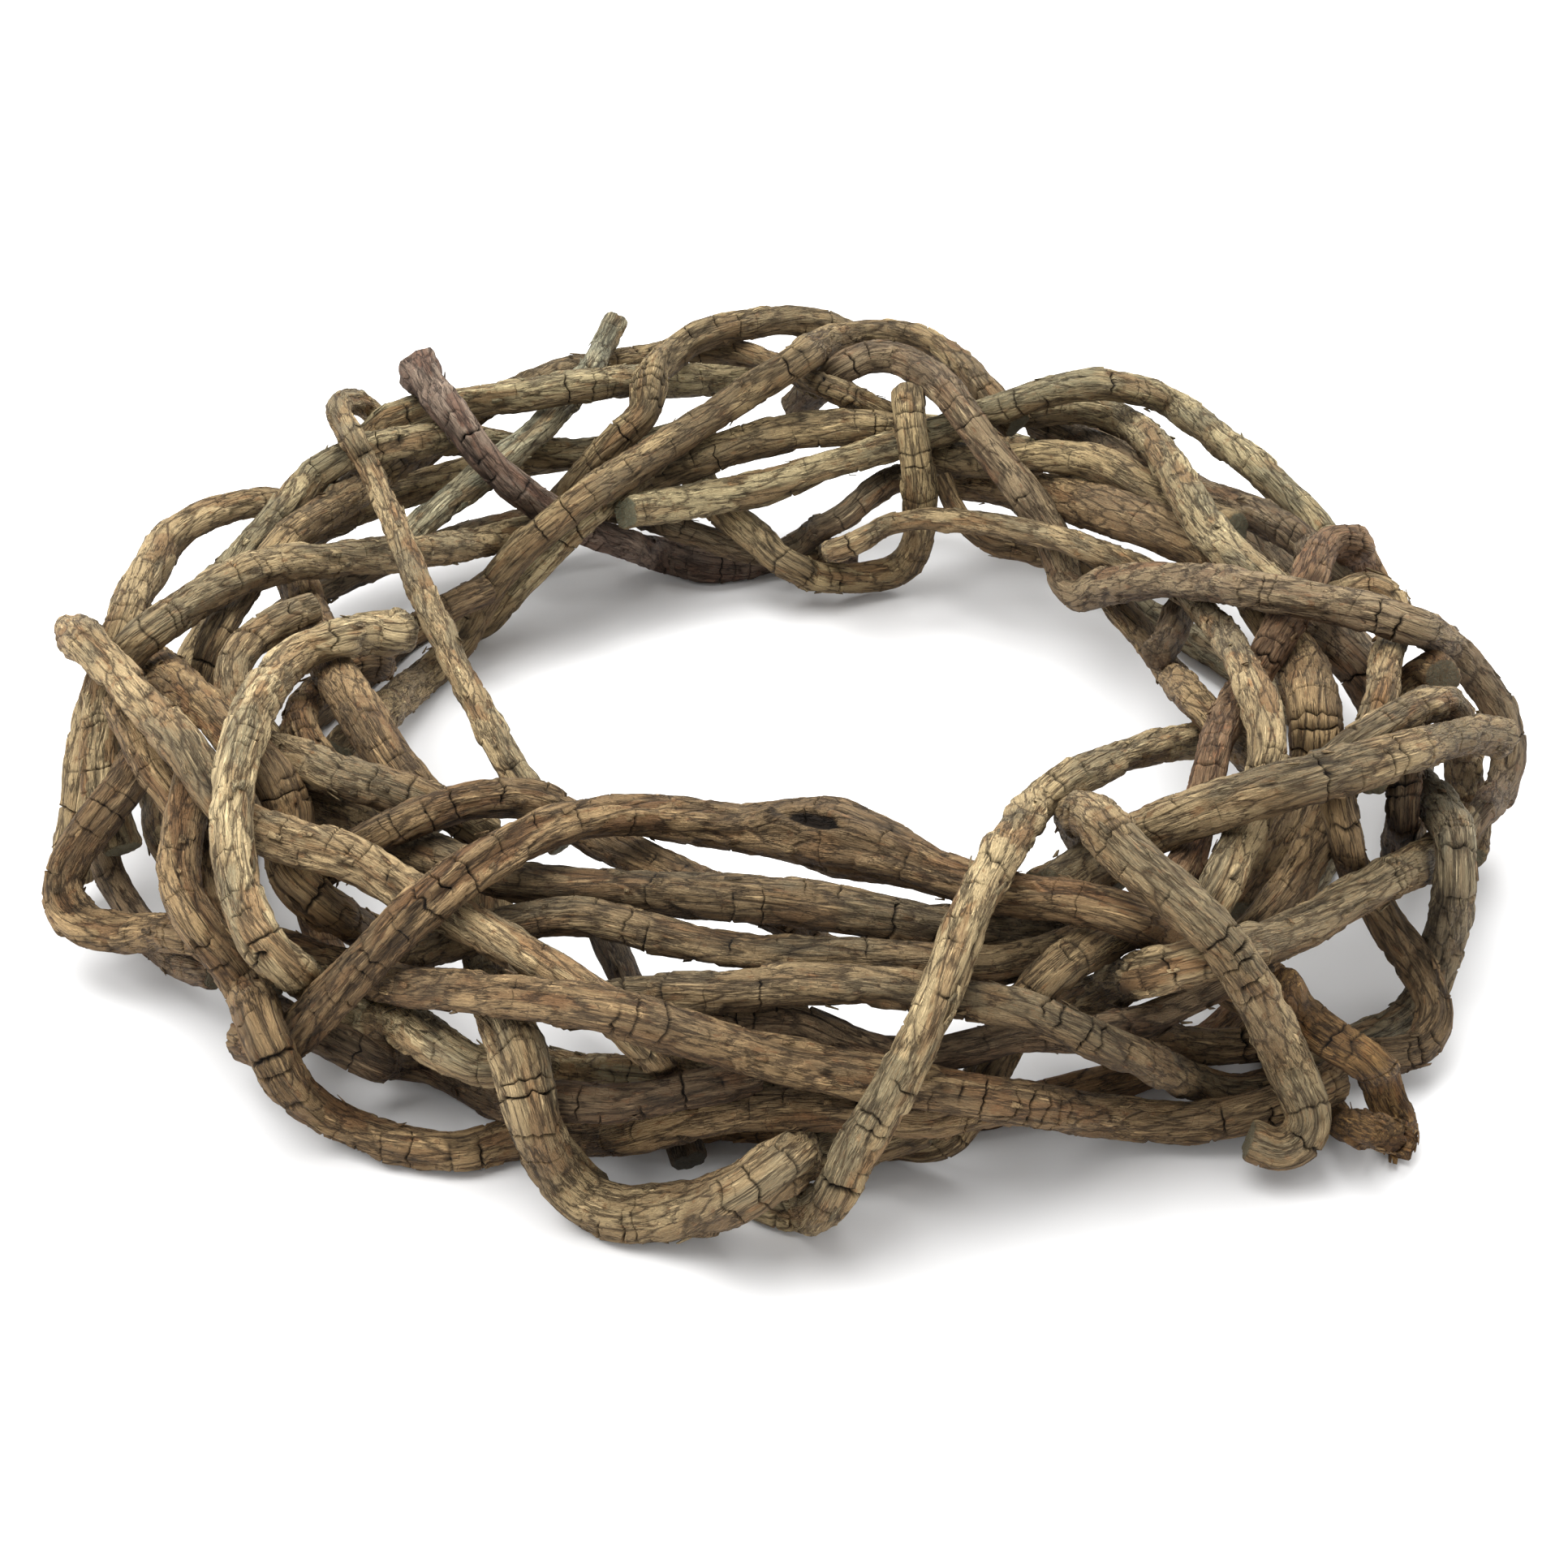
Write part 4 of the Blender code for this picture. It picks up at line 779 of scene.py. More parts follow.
@dataclass
class BarkCut:
    """What is cut into a stem's bark, and the fineness of its mesh.

    Lengths are in metres. A name that ends in _mm is how far a pattern reaches: twice across the stem
    and once along it. Of the cracks' plurals, the spreads are ranges of the half angle that one opens
    over, and the others are ranges of what its size is multiplied by.
    """

    sides: int = 32
    step: float = 0.0013
    inset: float = 0.0001
    lumps: float = 0.00045
    lumps_mm: Size = (11, 11, 30)
    flutes: float = 0.00110
    flutes_mm: Size = (5.2, 5.2, 60)
    furrow: float = 0.00062
    furrows_mm: tuple[Size, Size] = ((3.4, 3.4, 26), (1.9, 1.9, 15))
    furrow_share: float = 0.42
    furrow_sharpness: float = 1.4
    patches_mm: tuple[Size, Size] = ((10, 10, 26), (4, 4, 9))
    plate: float = 0.00036
    plates_mm: Size = (5.2, 5.2, 21)
    plates_waver: float = 0.28
    plates_waver_mm: Size = (5, 5, 9)
    lift: float = 0.00075
    lifted_from: float = 0.45
    lifted_backward_to: float = 0.72
    lift_slope: float = 1.4
    lift_range: Range = (-0.3, 0.7)
    seam: float = 0.00042
    seam_share: float = 0.16
    grit: float = 0.00017
    grit_mm: tuple[Size, Size] = ((1.3, 1.3, 2.6), (0.8, 0.8, 1.4))
    crack_depth: float = 0.0016
    crack_depths: Range = (0.25, 1.0)
    crack_spacing: float = 0.0105
    crack_spacings: Range = (0.4, 1.7)
    crack_gap: float = 0.00042
    crack_gaps: Range = (0.7, 1.5)
    crack_spreads: tuple[Range, ...] = ((0.3, 0.7), (0.7, 1.7))
    crack_off_bend: float = 0.5
    crack_waver: float = 0.0013
    crack_reach: float = 0.0042
    crack_path_mm: float = 3.0
    crack_steps_mm: float = 1.5
    tight_bend: float = 0.22
    flake_spacing: float = 0.0085
    flake_length: Range = (0.0018, 0.0052)
    flake_width: Range = (0.0011, 0.0028)
    flake_thickness: float = 0.0004
    flake_root: float = 0.00035
    flake_lift: Range = (0.0001, 0.0007)
    splinters: int = 16
    splinter_root: float = 0.003
    splinter_length: Range = (0.004, 0.0095)
    splinter_width: Range = (0.0012, 0.0026)
    splinter_lift: Range = (-0.0012, 0.0004)


@dataclass
class Vine:
    """One vine: its stem, finish, ends and scars, and the mesh made of them."""

    name: str
    stem: Stem
    slot: str
    seed: int
    cut: BarkCut
    end: EndStyle
    scars: tuple[Scar, ...] = ()
    tint: Colour = (1.0, 1.0, 1.0)
    twist: float = 0.0
    _scatter: Scatter = field(init=False)

    CUT_REACH = (0.45, 0.72, 0.88, 0.93, 0.97, 1.0)
    CUT_SCALE = (0.99, 0.94, 0.84, 0.58, 0.3, 0.03)
    BARK_ON_END = 0.9
    END_ROOM = 0.33
    END_RAGGED = 0.10
    CUT_RAGGED_SHARE = 0.35
    TORN_ROUNDNESS = 0.7
    END_RAGGED_MM = 1.6
    END_GRIT = 0.00006
    END_SEEDS = (7, 8)
    ROW_GAP = 0.00006
    FEWEST_ROWS = 4
    CRACK_ROOM = 0.4
    CRACK_SEED = 1000
    FIRST_CRACK = (0.2, 1.0)
    SOUND_END = 0.003
    FOLLOWS_BEND = 0.25
    CRACK_EDGE = 0.5
    CRACK_LIPS = ((-1, 0.05), (1, 0.14))
    CRACK_JOGS = 2.5
    SCAR_WAVER = 0.12
    SCAR_WAVER_MM = 2.2
    SCAR_RIM_AT = 1.6
    SCAR_RIM_WIDTH = 0.6
    SCAR_SWELL_REACH = 1.7
    FLAKE_SEED = 3000
    FLAKE_MARGIN = 0.006
    FLAKE_TAPER = 0.55
    FLAKE_THINNING = 0.4
    SPLINTER_SEED = 4000
    USUAL_RADIUS = 6 * MM
    THICK_RANGE = (0.5, 1.2)
    BARK_SHIFT_MM = 37.0
    BARK_SHIFTS = 61
    SLIVER_CORNERS = 8
    SLIVER_FACES = ((4, 5, 6, 7), (3, 2, 1, 0), (0, 1, 5, 4), (1, 2, 6, 5), (2, 3, 7, 6), (3, 0, 4, 7))

    def __post_init__(self) -> None:
        """Draws the vine's own noise."""
        self._scatter = Scatter(self.seed)

    @property
    def bark_start(self) -> float:
        """Where the vine's own stretch of bark starts, in millimetres."""
        return self.BARK_SHIFT_MM * (self.seed % self.BARK_SHIFTS)

    def cracks(self) -> list[Crack]:
        """Chooses where the stem cracks: closer together where it bends, open on the bend's outer side.

        Returns:
            The cracks, in order along the stem.
        """
        draw = np.random.default_rng(self.seed + self.CRACK_SEED)
        cut = self.cut
        found = []
        along = draw.uniform(*self.FIRST_CRACK) * cut.crack_spacing
        while along < self.stem.length - self.SOUND_END:
            index = round(along / self.stem.length * (len(self.stem.along) - 1))
            bend = self.stem.bend[index]
            tension = min(1.0, np.linalg.norm(bend) * self.stem.radius[index] / cut.tight_bend)
            outer = math.atan2(-bend @ self.stem.up[index], -bend @ self.stem.across[index])
            if draw.random() < self.FOLLOWS_BEND + tension:
                middle = outer + draw.normal(0, cut.crack_off_bend)
            else:
                middle = draw.uniform(-math.pi, math.pi)
            depth = cut.crack_depth * draw.uniform(*cut.crack_depths) * (0.55 + 0.75 * tension)
            spread = draw.choice([draw.uniform(*some) for some in cut.crack_spreads]) + 0.7 * tension
            found.append(Crack(along, middle, spread, depth, cut.crack_gap * draw.uniform(*cut.crack_gaps)))
            along += cut.crack_spacing * draw.uniform(*cut.crack_spacings) * (1 - 0.4 * tension)
        return found

    def rows(self, cracks: list[Crack]) -> tuple[Array, Array]:
        """Distances of the mesh's rows, with one in each crack and one on either lip.

        Args:
            cracks: the stem's cracks.

        Returns:
            The distances, and for each the number of the crack it lies in, or -1.
        """
        count = max(self.FEWEST_ROWS, round(self.stem.length / self.cut.step))
        base = np.linspace(0, self.stem.length, count + 1)
        rows, inside = [base], [np.full(len(base), -1)]
        for number, crack in enumerate(cracks):
            near = np.abs(rows[0] - crack.along) < crack.gap + self.CRACK_ROOM * self.cut.step
            near[[0, -1]] = False
            rows[0], inside[0] = rows[0][~near], inside[0][~near]
            rows.append(np.array([crack.along - crack.gap, crack.along, crack.along + crack.gap]))
            inside.append(np.array([-1, number, -1]))
        rows, inside = np.concatenate(rows), np.concatenate(inside)
        order = np.argsort(rows, kind="stable")
        return rows[order], inside[order]

    def relief(self, along: Array, turn: Array, radius: Array) -> dict[str, Array]:
        """How far the bark stands out, and what colours it.

        Args:
            along: distance along the stem of each point, in metres.
            turn: its angle round the stem.
            radius: the stem's radius there.

        Returns:
            The height in metres, the bark's own coordinates in millimetres, the plate and patch values,
            and the painted shade of the furrows, seams and hollows.
        """
        spiral = turn + self.twist * along
        bark = np.stack([radius * np.cos(spiral), radius * np.sin(spiral), along], axis=1) / MM
        bark += self.bark_start
        cut = self.cut

        def noise(size: Size, shift: float = 0.0) -> Array:
            """Noise of a size. The shifts keep the patterns from repeating one another."""
            return self._scatter.smooth(bark / size + shift)

        lumps = noise(cut.lumps_mm)
        flutes = noise(cut.flutes_mm, 21.7)
        patch = 1.6 * noise(cut.patches_mm[0], 5.5) + 0.6 * noise(cut.patches_mm[1])
        patch = 0.5 + 0.5 * np.clip(patch, -1, 1)
        long_wave = noise(cut.furrows_mm[0], 9.1) + 0.5 * noise(cut.furrows_mm[1], 4.7)
        furrows = (1 - np.clip(np.abs(long_wave) / cut.furrow_share, 0, 1)) ** cut.furrow_sharpness
        wander = np.stack([noise(cut.plates_waver_mm, shift) for shift in (0.0, 17.3, 31.9)], axis=1)
        seam, plate, lengthwise = self._scatter.cells(bark / cut.plates_mm + cut.plates_waver * wander)
        slope = cut.lift_slope * lengthwise * np.sign(plate - cut.lifted_backward_to)
        raised = (plate > cut.lifted_from) * np.clip(slope, *cut.lift_range)
        seams = 1 - np.clip(seam / cut.seam_share, 0, 1)
        grit = noise(cut.grit_mm[0]) + 0.6 * noise(cut.grit_mm[1], 3.3)
        thick = np.clip(radius / self.USUAL_RADIUS, *self.THICK_RANGE)
        height = (thick * (cut.lumps * lumps + cut.flutes * flutes) - cut.furrow * furrows
                  - cut.seam * seams + cut.plate * (plate - 0.5) * 2 + cut.lift * raised
                  + cut.grit * grit - cut.inset)
        # Painted shade: the furrows, the seams between plates and the hollows between flutes are darkened.
        hollow = np.clip(-flutes - 0.25, 0, 1)
        cavity_shade = np.clip(0.6 * furrows + 0.5 * seams + 0.6 * hollow, 0, 1)
        return {"height": height, "bark": bark, "plate": plate, "cavity_shade": cavity_shade, "patch": patch}

    def scar_relief(self, places: Array, view: "View") -> tuple[Array, Array]:
        """Height and painted shade in the pits that the scars add.

        Args:
            places: the points of the plain tube.
            view: the photograph's view.

        Returns:
            The height in metres and the painted shade in the pits, for each point.
        """
        height = np.zeros(len(places))
        dark = np.zeros(len(places))
        for scar in self.scars:
            spot = places[view.nearest(places, scar.column, scar.row)]
            centre = self.stem.centre
            index = np.linalg.norm(centre - spot, axis=1).argmin()
            run = centre[min(index + 3, len(centre) - 1)] - centre[max(index - 3, 0)]
            run /= np.linalg.norm(run)
            gap = places - spot
            lengthwise = gap @ run
            across = np.sqrt(np.clip((gap**2).sum(axis=1) - lengthwise**2, 0, None))
            spread = np.sqrt((lengthwise / scar.length) ** 2 + (across / scar.width) ** 2)
            waver = self.SCAR_WAVER * self._scatter.smooth(places / (self.SCAR_WAVER_MM * MM))
            pit = np.clip(1.1 - spread + waver, 0, 1) ** 0.7
            rim = np.exp(-(((spread - self.SCAR_RIM_AT) / self.SCAR_RIM_WIDTH) ** 2))
            height += scar.rim * rim - scar.depth * pit
            height += scar.swell * np.exp(-((lengthwise / (self.SCAR_SWELL_REACH * scar.length)) ** 2))
            # Painted shade: the scar's pit is darkened.
            dark = np.maximum(dark, np.clip(pit * 2.2, 0, 1))
        return height, dark

    def opened(self, rows: Array, inside: Array, turn: Array,
               cracks: list[Crack]) -> tuple[Array, Array, Array]:
        """Bends the rows along the cracks' jagged paths and sinks those that lie in one.

        Args:
            rows: the rows' distances along the stem.
            inside: the number of the crack that each row lies in, or -1.
            turn: the angles round the stem.
            cracks: the stem's cracks.

        Returns:
            For each point, row by row, its distance along the stem, its height and its painted shade.
        """
        cut = self.cut
        along = np.repeat(rows[:, None], cut.sides, axis=1)
        height, shade = np.zeros(along.shape), np.zeros(along.shape)
        for number, crack in enumerate(cracks):
            reach = np.clip(1 - np.abs(rows - crack.along) / cut.crack_reach, 0, 1)
            reach = reach * reach * (3 - 2 * reach)
            ring = np.stack([np.cos(turn), np.sin(turn), np.full(len(turn), float(number))], axis=1)
            girth = np.interp(crack.along, self.stem.along, self.stem.radius) / MM
            path = self._scatter.smooth(ring * (girth / cut.crack_path_mm, girth / cut.crack_path_mm, 7.7))
            steps = (girth / cut.crack_steps_mm, girth / cut.crack_steps_mm, 3.3)
            path = 0.75 * np.round(self.CRACK_JOGS * path) / self.CRACK_JOGS
            path += 0.35 * self._scatter.smooth(ring * steps + 50)
            along += reach[:, None] * path[None, :] * cut.crack_waver
            apart = np.abs((turn - crack.middle + math.pi) % math.tau - math.pi)
            open_share = np.clip((crack.spread - apart) / self.CRACK_EDGE, 0, 1)
            row = np.flatnonzero(inside == number)
            height[row] -= crack.depth * open_share
            # Painted shade: the crack's own row is darkened over its open part, more where the crack is
            # deeper.
            shade[row] = open_share * min(1.0, 0.35 + 0.65 * crack.depth / cut.crack_depth)
            for side, lift in self.CRACK_LIPS:
                height[row + side] += lift * crack.depth * open_share
        ramp = self.ROW_GAP * np.arange(len(rows))[:, None]
        along = np.clip(np.maximum.accumulate(along - ramp, axis=0) + ramp, 0, self.stem.length)
        return along, height, shade

    def build(self, view: "View", low: Array, high: Array) -> bpy.types.Object:
        """Makes the vine's mesh.

        Args:
            view: the photograph's view.
            low: the lowest corner that the mesh may reach.
            high: the highest corner.

        Returns:
            The vine's object.
        """
        cracks = self.cracks()
        rows, inside = self.rows(cracks)
        turn = np.linspace(0, math.tau, self.cut.sides, endpoint=False)
        along, crack_height, shade = self.opened(rows, inside, turn, cracks)
        turns = np.repeat(turn[None, :], len(rows), axis=0)
        row_radius = np.repeat(np.interp(rows, self.stem.along, self.stem.radius), self.cut.sides)
        centre, radius, across, up, squash = self.stem.at(along)
        relief = self.relief(along.ravel(), turns.ravel(), row_radius)
        out = np.cos(turns)[..., None] * across + (squash * np.sin(turns))[..., None] * up
        plain = (centre + radius[..., None] * out).reshape(-1, 3)
        scar_height, scar_shade = (part.reshape(along.shape) for part in self.scar_relief(plain, view))
        bark = relief.pop("bark").reshape(*along.shape, 3)
        relief = {key: value.reshape(along.shape) for key, value in relief.items()}
        height = relief["height"] + scar_height + crack_height
        places = centre + (radius + height)[..., None] * out
        values = {
            # The crack value holds the painted shade in the cracks and the scars' pits, and the next one
            # the painted shade of the furrows, seams, hollows and pits.
            "crack": np.maximum(shade, np.clip(1.6 * scar_shade - 0.5, 0, 1)),
            "cavity_shade": np.maximum(relief["cavity_shade"], scar_shade),
            "plate": relief["plate"],
            "patch": relief["patch"],
            # under: how far a point faces down, plus a little of the furrows' painted shade; it sets the
            # painted shade below and the lichen above.
            "under": 0.5 - 0.5 * out[..., 2] + 0.18 * relief["cavity_shade"],
            "wood": np.zeros(along.shape),
        }
        for at_start in (True, False):
            places, bark, values = self.close_end(places, bark, values, at_start)
        slivers = self.flakes()
        if self.end is EndStyle.TORN:
            slivers = [np.concatenate(pair) for pair in zip(slivers, self.splinters())]
        return self.mesh_object(places, bark, values, slivers, (low, high))

    def flakes(self) -> list[Array]:
        """Small slivers of bark that lift off the stem at one end.

        Returns:
            The eight corners of each, the bark's coordinates there, and a plate value for each.
        """
        draw = np.random.default_rng(self.seed + self.FLAKE_SEED)
        count = round(self.stem.length / self.cut.flake_spacing)
        reach = draw.uniform(*self.cut.flake_length, count) * draw.choice((-1, 1), count)
        root = draw.uniform(self.FLAKE_MARGIN, self.stem.length - self.FLAKE_MARGIN, count)
        turn = draw.uniform(0, math.tau, count)
        width = draw.uniform(*self.cut.flake_width, count)
        lift = draw.uniform(*self.cut.flake_lift, count)
        return self.slivers(root, reach, turn, width, lift, draw.random(count))

    def splinters(self) -> list[Array]:
        """Long thin slivers that stand out of a torn end.

        Returns:
            As for flakes.
        """
        draw = np.random.default_rng(self.seed + self.SPLINTER_SEED)
        cut, count = self.cut, self.cut.splinters
        turn = np.linspace(0, math.tau, count, endpoint=False) + draw.normal(0, 0.15, count)
        root = np.full(count, self.stem.length - cut.splinter_root)
        width = draw.uniform(*cut.splinter_width, count)
        reach = draw.uniform(*cut.splinter_length, count)
        lift = draw.uniform(*cut.splinter_lift, count)
        return self.slivers(root, reach, turn, width, lift, draw.random(count))

    def slivers(self, root: Array, reach: Array, turn: Array, width: Array,
                lift: Array, plate: Array) -> list[Array]:
        """Thin wedges on the stem's surface.

        Args:
            root: how far along the stem each starts.
            reach: how far it goes from there, backwards where it is negative.
            turn: its angle round the stem.
            width: its width.
            lift: how high its tip stands.
            plate: its plate value.

        Returns:
            The eight corners of each, the bark's coordinates there, and the plate values.
        """
        corners, bark = [], []
        facing = np.sign(reach)
        for layer in (-self.cut.flake_thickness, 0.0):
            for share, side in ((0, -1), (0, 1), (1, 1), (1, -1)):
                along = root + share * reach
                beyond = np.clip(along - self.stem.length, 0, None)[:, None]
                centre, radius, across, up, squash = self.stem.at(np.clip(along, 0, self.stem.length))
                angle = turn + side * facing * width * (1 - self.FLAKE_TAPER * share) / (2 * radius)
                sunk = self.cut.flake_root * (1 - share)
                height = radius + layer * (1 - self.FLAKE_THINNING * share) + lift * share - sunk
                out = np.cos(angle)[:, None] * across + (squash * np.sin(angle))[:, None] * up
                corners.append(centre + height[:, None] * out + beyond * np.cross(across, up))
                spot = np.stack([height * np.cos(angle), height * np.sin(angle), along + 2 * layer], axis=1)
                bark.append(spot / MM + self.bark_start)
        return [np.stack(corners, axis=1), np.stack(bark, axis=1), plate]

    def close_end(self, places: Array, bark: Array, values: dict[str, Array],
                  at_start: bool) -> tuple[Array, Array, dict[str, Array]]:
        """Adds the rows that close an end.

        Args:
            places: the mesh's points, row by row.
            bark: the bark's coordinates of those.
            values: the numbers stored on them.
            at_start: whether this is the stem's first end.

        Returns:
            The three, with the end's rows.
        """
        edge, inner, sense = (0, 3, -1) if at_start else (-1, -4, 1)
        is_cut = self.end is EndStyle.CUT
        centre, radius, across, up, _ = self.stem.at(np.array(0.0 if at_start else self.stem.length))
        ahead = np.cross(across, up) * sense
        ahead *= np.sign(ahead @ (self.stem.centre[edge] - self.stem.centre[inner])) or 1.0
        room = self.END_ROOM * radius
        draw = np.random.default_rng(self.seed + self.END_SEEDS[0 if at_start else 1])
        reaches, scales = np.array(self.CUT_REACH), np.array(self.CUT_SCALE)
        if not is_cut:
            share = np.linspace(0, 1, len(scales) + 1)[1:] * math.pi / 2
            reaches = np.sin(share)
            scales = np.append(np.cos(share[:-1]) ** self.TORN_ROUNDNESS, scales[-1])
        rim, rim_bark = places[edge], bark[edge]
        ragged = self._scatter.smooth(rim / (self.END_RAGGED_MM * MM))
        ragged *= self.END_RAGGED * radius * (self.CUT_RAGGED_SHARE if is_cut else 1)
        middle = np.append(rim_bark[:, :2].mean(axis=0), 0.0)
        rows, barks = [], []
        for reach, scale in zip(reaches, scales):
            row = centre + (rim - centre) * scale + (room * reach + ragged * scale)[:, None] * ahead
            rows.append(row + draw.normal(0, self.END_GRIT, row.shape))
            grown = middle + (rim_bark - middle) * (scale, scale, 1.0)
            barks.append(grown + (0.0, 0.0, sense * room * reach / MM))

        def joined(own: Array, extra: Array) -> Array:
            """The end's rows and the stem's own, in order along the stem."""
            return np.concatenate([extra[::-1], own] if at_start else [own, extra])

        ended = {key: np.repeat(own[edge][None], len(rows), axis=0) for key, own in values.items()}
        ended["crack"][:] = 0
        ended["wood"][:] = (is_cut & (scales < self.BARK_ON_END))[:, None]
        values = {key: joined(own, ended[key]) for key, own in values.items()}
        return joined(places, np.stack(rows)), joined(bark, np.stack(barks)), values

    def mesh_object(self, places: Array, bark: Array, values: dict[str, Array],
                    slivers: list[Array], box: tuple[Array, Array]) -> bpy.types.Object:
        """Turns rows of points and slivers into closed meshes in one object, with their stored numbers.

        Args:
            places: the points, row by row.
            bark: the bark's coordinates of those.
            values: the numbers stored on them.
            slivers: the corners, coordinates and plate values of the slivers.
            box: the lowest and highest corner that the mesh may reach.

        Returns:
            The object.
        """
        count, sides = places.shape[:2]
        low = (np.arange(count - 1)[:, None] * sides + np.arange(sides)[None, :]).ravel()
        side = np.tile(np.roll(np.arange(sides), -1) - np.arange(sides), count - 1)
        quads = np.stack([low, low + side, low + side + sides, low + sides], axis=1)
        first = count * sides + self.SLIVER_CORNERS * np.arange(len(slivers[2]))
        wedges = (first[:, None, None] + np.array(self.SLIVER_FACES)).reshape(-1, 4)
        quads = np.concatenate([quads, wedges])
        caps = [np.arange(sides)[::-1], np.arange((count - 1) * sides, count * sides)]
        corners = np.concatenate([quads.ravel(), *caps]).astype(np.int32)
        starts = np.append(np.arange(len(quads) + 1) * 4, len(quads) * 4 + sides).astype(np.int32)
        points = np.concatenate([places.reshape(-1, 3), slivers[0].reshape(-1, 3)])
        points = np.clip(points, *box)
        mesh = bpy.data.meshes.new(self.name + "_bark")
        mesh.vertices.add(len(points))
        mesh.vertices.foreach_set("co", points.astype(np.float32).ravel())
        mesh.loops.add(len(corners))
        mesh.loops.foreach_set("vertex_index", corners)
        mesh.polygons.add(len(starts))
        mesh.polygons.foreach_set("loop_start", starts)
        mesh.update(calc_edges=True)
        vectors = {"bark": np.concatenate([bark.reshape(-1, 3), slivers[1].reshape(-1, 3)]),
                   "tint": np.tile(self.tint, (len(points), 1))}
        for key, value in vectors.items():
            stored = mesh.attributes.new(key, "FLOAT_VECTOR", "POINT")
            stored.data.foreach_set("vector", value.astype(np.float32).ravel())
        own = {"plate": np.repeat(slivers[2], self.SLIVER_CORNERS),
               "patch": np.repeat(slivers[2][::-1], self.SLIVER_CORNERS)}
        for key, value in values.items():
            tail = own.get(key, np.zeros(len(points) - count * sides))
            stored = mesh.attributes.new(key, "FLOAT", "POINT")
            stored.data.foreach_set("value", np.concatenate([value.ravel(), tail]).astype(np.float32))
        mesh.shade_smooth()
        return placed(self.name + "_bark", mesh)


@dataclass
class View:
    """The photograph's view: its size, its eye and where that looks.

    The anchor is a vine whose end is known to stand at an angle and radius from the ring's middle.
    """

    PIXELS_PER_METRE_BEHIND = 600.0

    pixels: float = 1932.0
    focal: float = 3150.0
    sensor: float = 36.0
    clip_start: float = 0.01
    distance: float = 0.80
    elevation: float = math.radians(31)
    sight_point: Place = (0.0, -0.085, 0.05)
    anchor_node: str = "foot_front"
    anchor_angle: float = math.radians(212)
    anchor_radius: float = 0.176
    shift: Array = field(default_factory=lambda: np.zeros(3))

    @property
    def forward(self) -> Array:
        """The direction that the eye looks in."""
        return np.array([0.0, math.cos(self.elevation), -math.sin(self.elevation)])

    @property
    def upward(self) -> Array:
        """The direction of the view's upright."""
        return np.array([0.0, math.sin(self.elevation), math.cos(self.elevation)])

    @property
    def eye(self) -> Array:
        """Where the eye is, in the frame."""
        return np.array(self.sight_point) + self.shift - self.distance * self.forward

    def settle(self, stem: Stem) -> None:
        """Finds how far the frame's origin lies from the middle of the ring that the view is set by.

        Args:
            stem: the anchor vine, which starts at the anchor's angle and radius.
        """
        start = self.anchor_radius * np.array([math.cos(self.anchor_angle), math.sin(self.anchor_angle)])
        ends = stem.centre[[0, -1], :2]
        found = ends[ends[:, 0].argmin()]
        self.shift = np.append(found - start, 0.0)

    def nearest(self, places: Array, column: float, row: float) -> int:
        """The point that shows nearest a place in the photograph and towards the eye.

        Args:
            places: the points.
            column: the place's column.
            row: its row.

        Returns:
            The point's number.
        """
        gap = places - self.eye
        far = gap @ self.forward
        off = np.hypot(self.focal * gap[:, 0] / far - (column - self.pixels / 2),
                       self.focal * (gap @ self.upward) / far - (self.pixels / 2 - row))
        return int(np.argmin(off + self.PIXELS_PER_METRE_BEHIND * (far - far.min())))

    def camera(self) -> None:
        """Stands the camera at the eye."""
        lens = bpy.data.cameras.new("photo_camera")
        lens.sensor_width = self.sensor
        lens.lens = self.sensor * self.focal / self.pixels
        lens.clip_start = self.clip_start
        camera = placed("photo_camera", lens)
        axes = Matrix((Vector((1, 0, 0)), Vector(self.upward), -Vector(self.forward))).transposed()
        camera.matrix_world = Matrix.Translation(Vector(self.eye)) @ axes.to_4x4()
        bpy.context.scene.camera = camera


@dataclass
class Studio:
    """A pale floor and soft light. A lamp is its place, its width in metres and its power in watts."""

    reach: float = 6.0
    aim: Place = (0.0, 0.0, 0.03)
    floor_colour: Colour = (0.86, 0.86, 0.86)
    floor_roughness: float = 0.9
    floor_specular: float = 0.1
    sky: float = 1.07
    lamps: tuple[tuple[Place, float, float], ...] = (
        ((-0.5, -0.35, 1.5), 1.5, 28.0),
        ((0.45, 0.75, 1.3), 1.0, 15.0),
    )

    def build(self) -> None:
        """Makes the floor, the lamps and the sky."""
        mesh = bpy.data.meshes.new("floor")
        corners = [(x * self.reach, y * self.reach, 0) for x, y in ((-1, -1), (1, -1), (1, 1), (-1, 1))]
        mesh.from_pydata(corners, [], [(0, 1, 2, 3)])
        floor = placed("floor", mesh)
        pale = bpy.data.materials.new("pale_floor")
        pale.use_nodes = True
        surface = pale.node_tree.nodes["Principled BSDF"]
        surface.inputs["Base Color"].default_value = (*self.floor_colour, 1.0)
        surface.inputs["Roughness"].default_value = self.floor_roughness
        surface.inputs["Specular IOR Level"].default_value = self.floor_specular
        mesh.materials.append(pale)
        floor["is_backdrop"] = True
        for number, (place, size, power) in enumerate(self.lamps):
            light = bpy.data.lights.new("lamp_%d" % number, "AREA")
            light.shape = "DISK"
            light.size = size
            light.energy = power
            lamp = placed(light.name, light)
            lamp.location = place
            lamp.rotation_euler = (Vector(self.aim) - Vector(place)).to_track_quat("-Z", "Y").to_euler()
        world = bpy.data.worlds.new("studio")
        world.use_nodes = True
        world.node_tree.nodes["Background"].inputs["Color"].default_value = (1.0, 1.0, 1.0, 1.0)
        world.node_tree.nodes["Background"].inputs["Strength"].default_value = self.sky
        bpy.context.scene.world = world
        bpy.context.scene.view_settings.view_transform = "Standard"


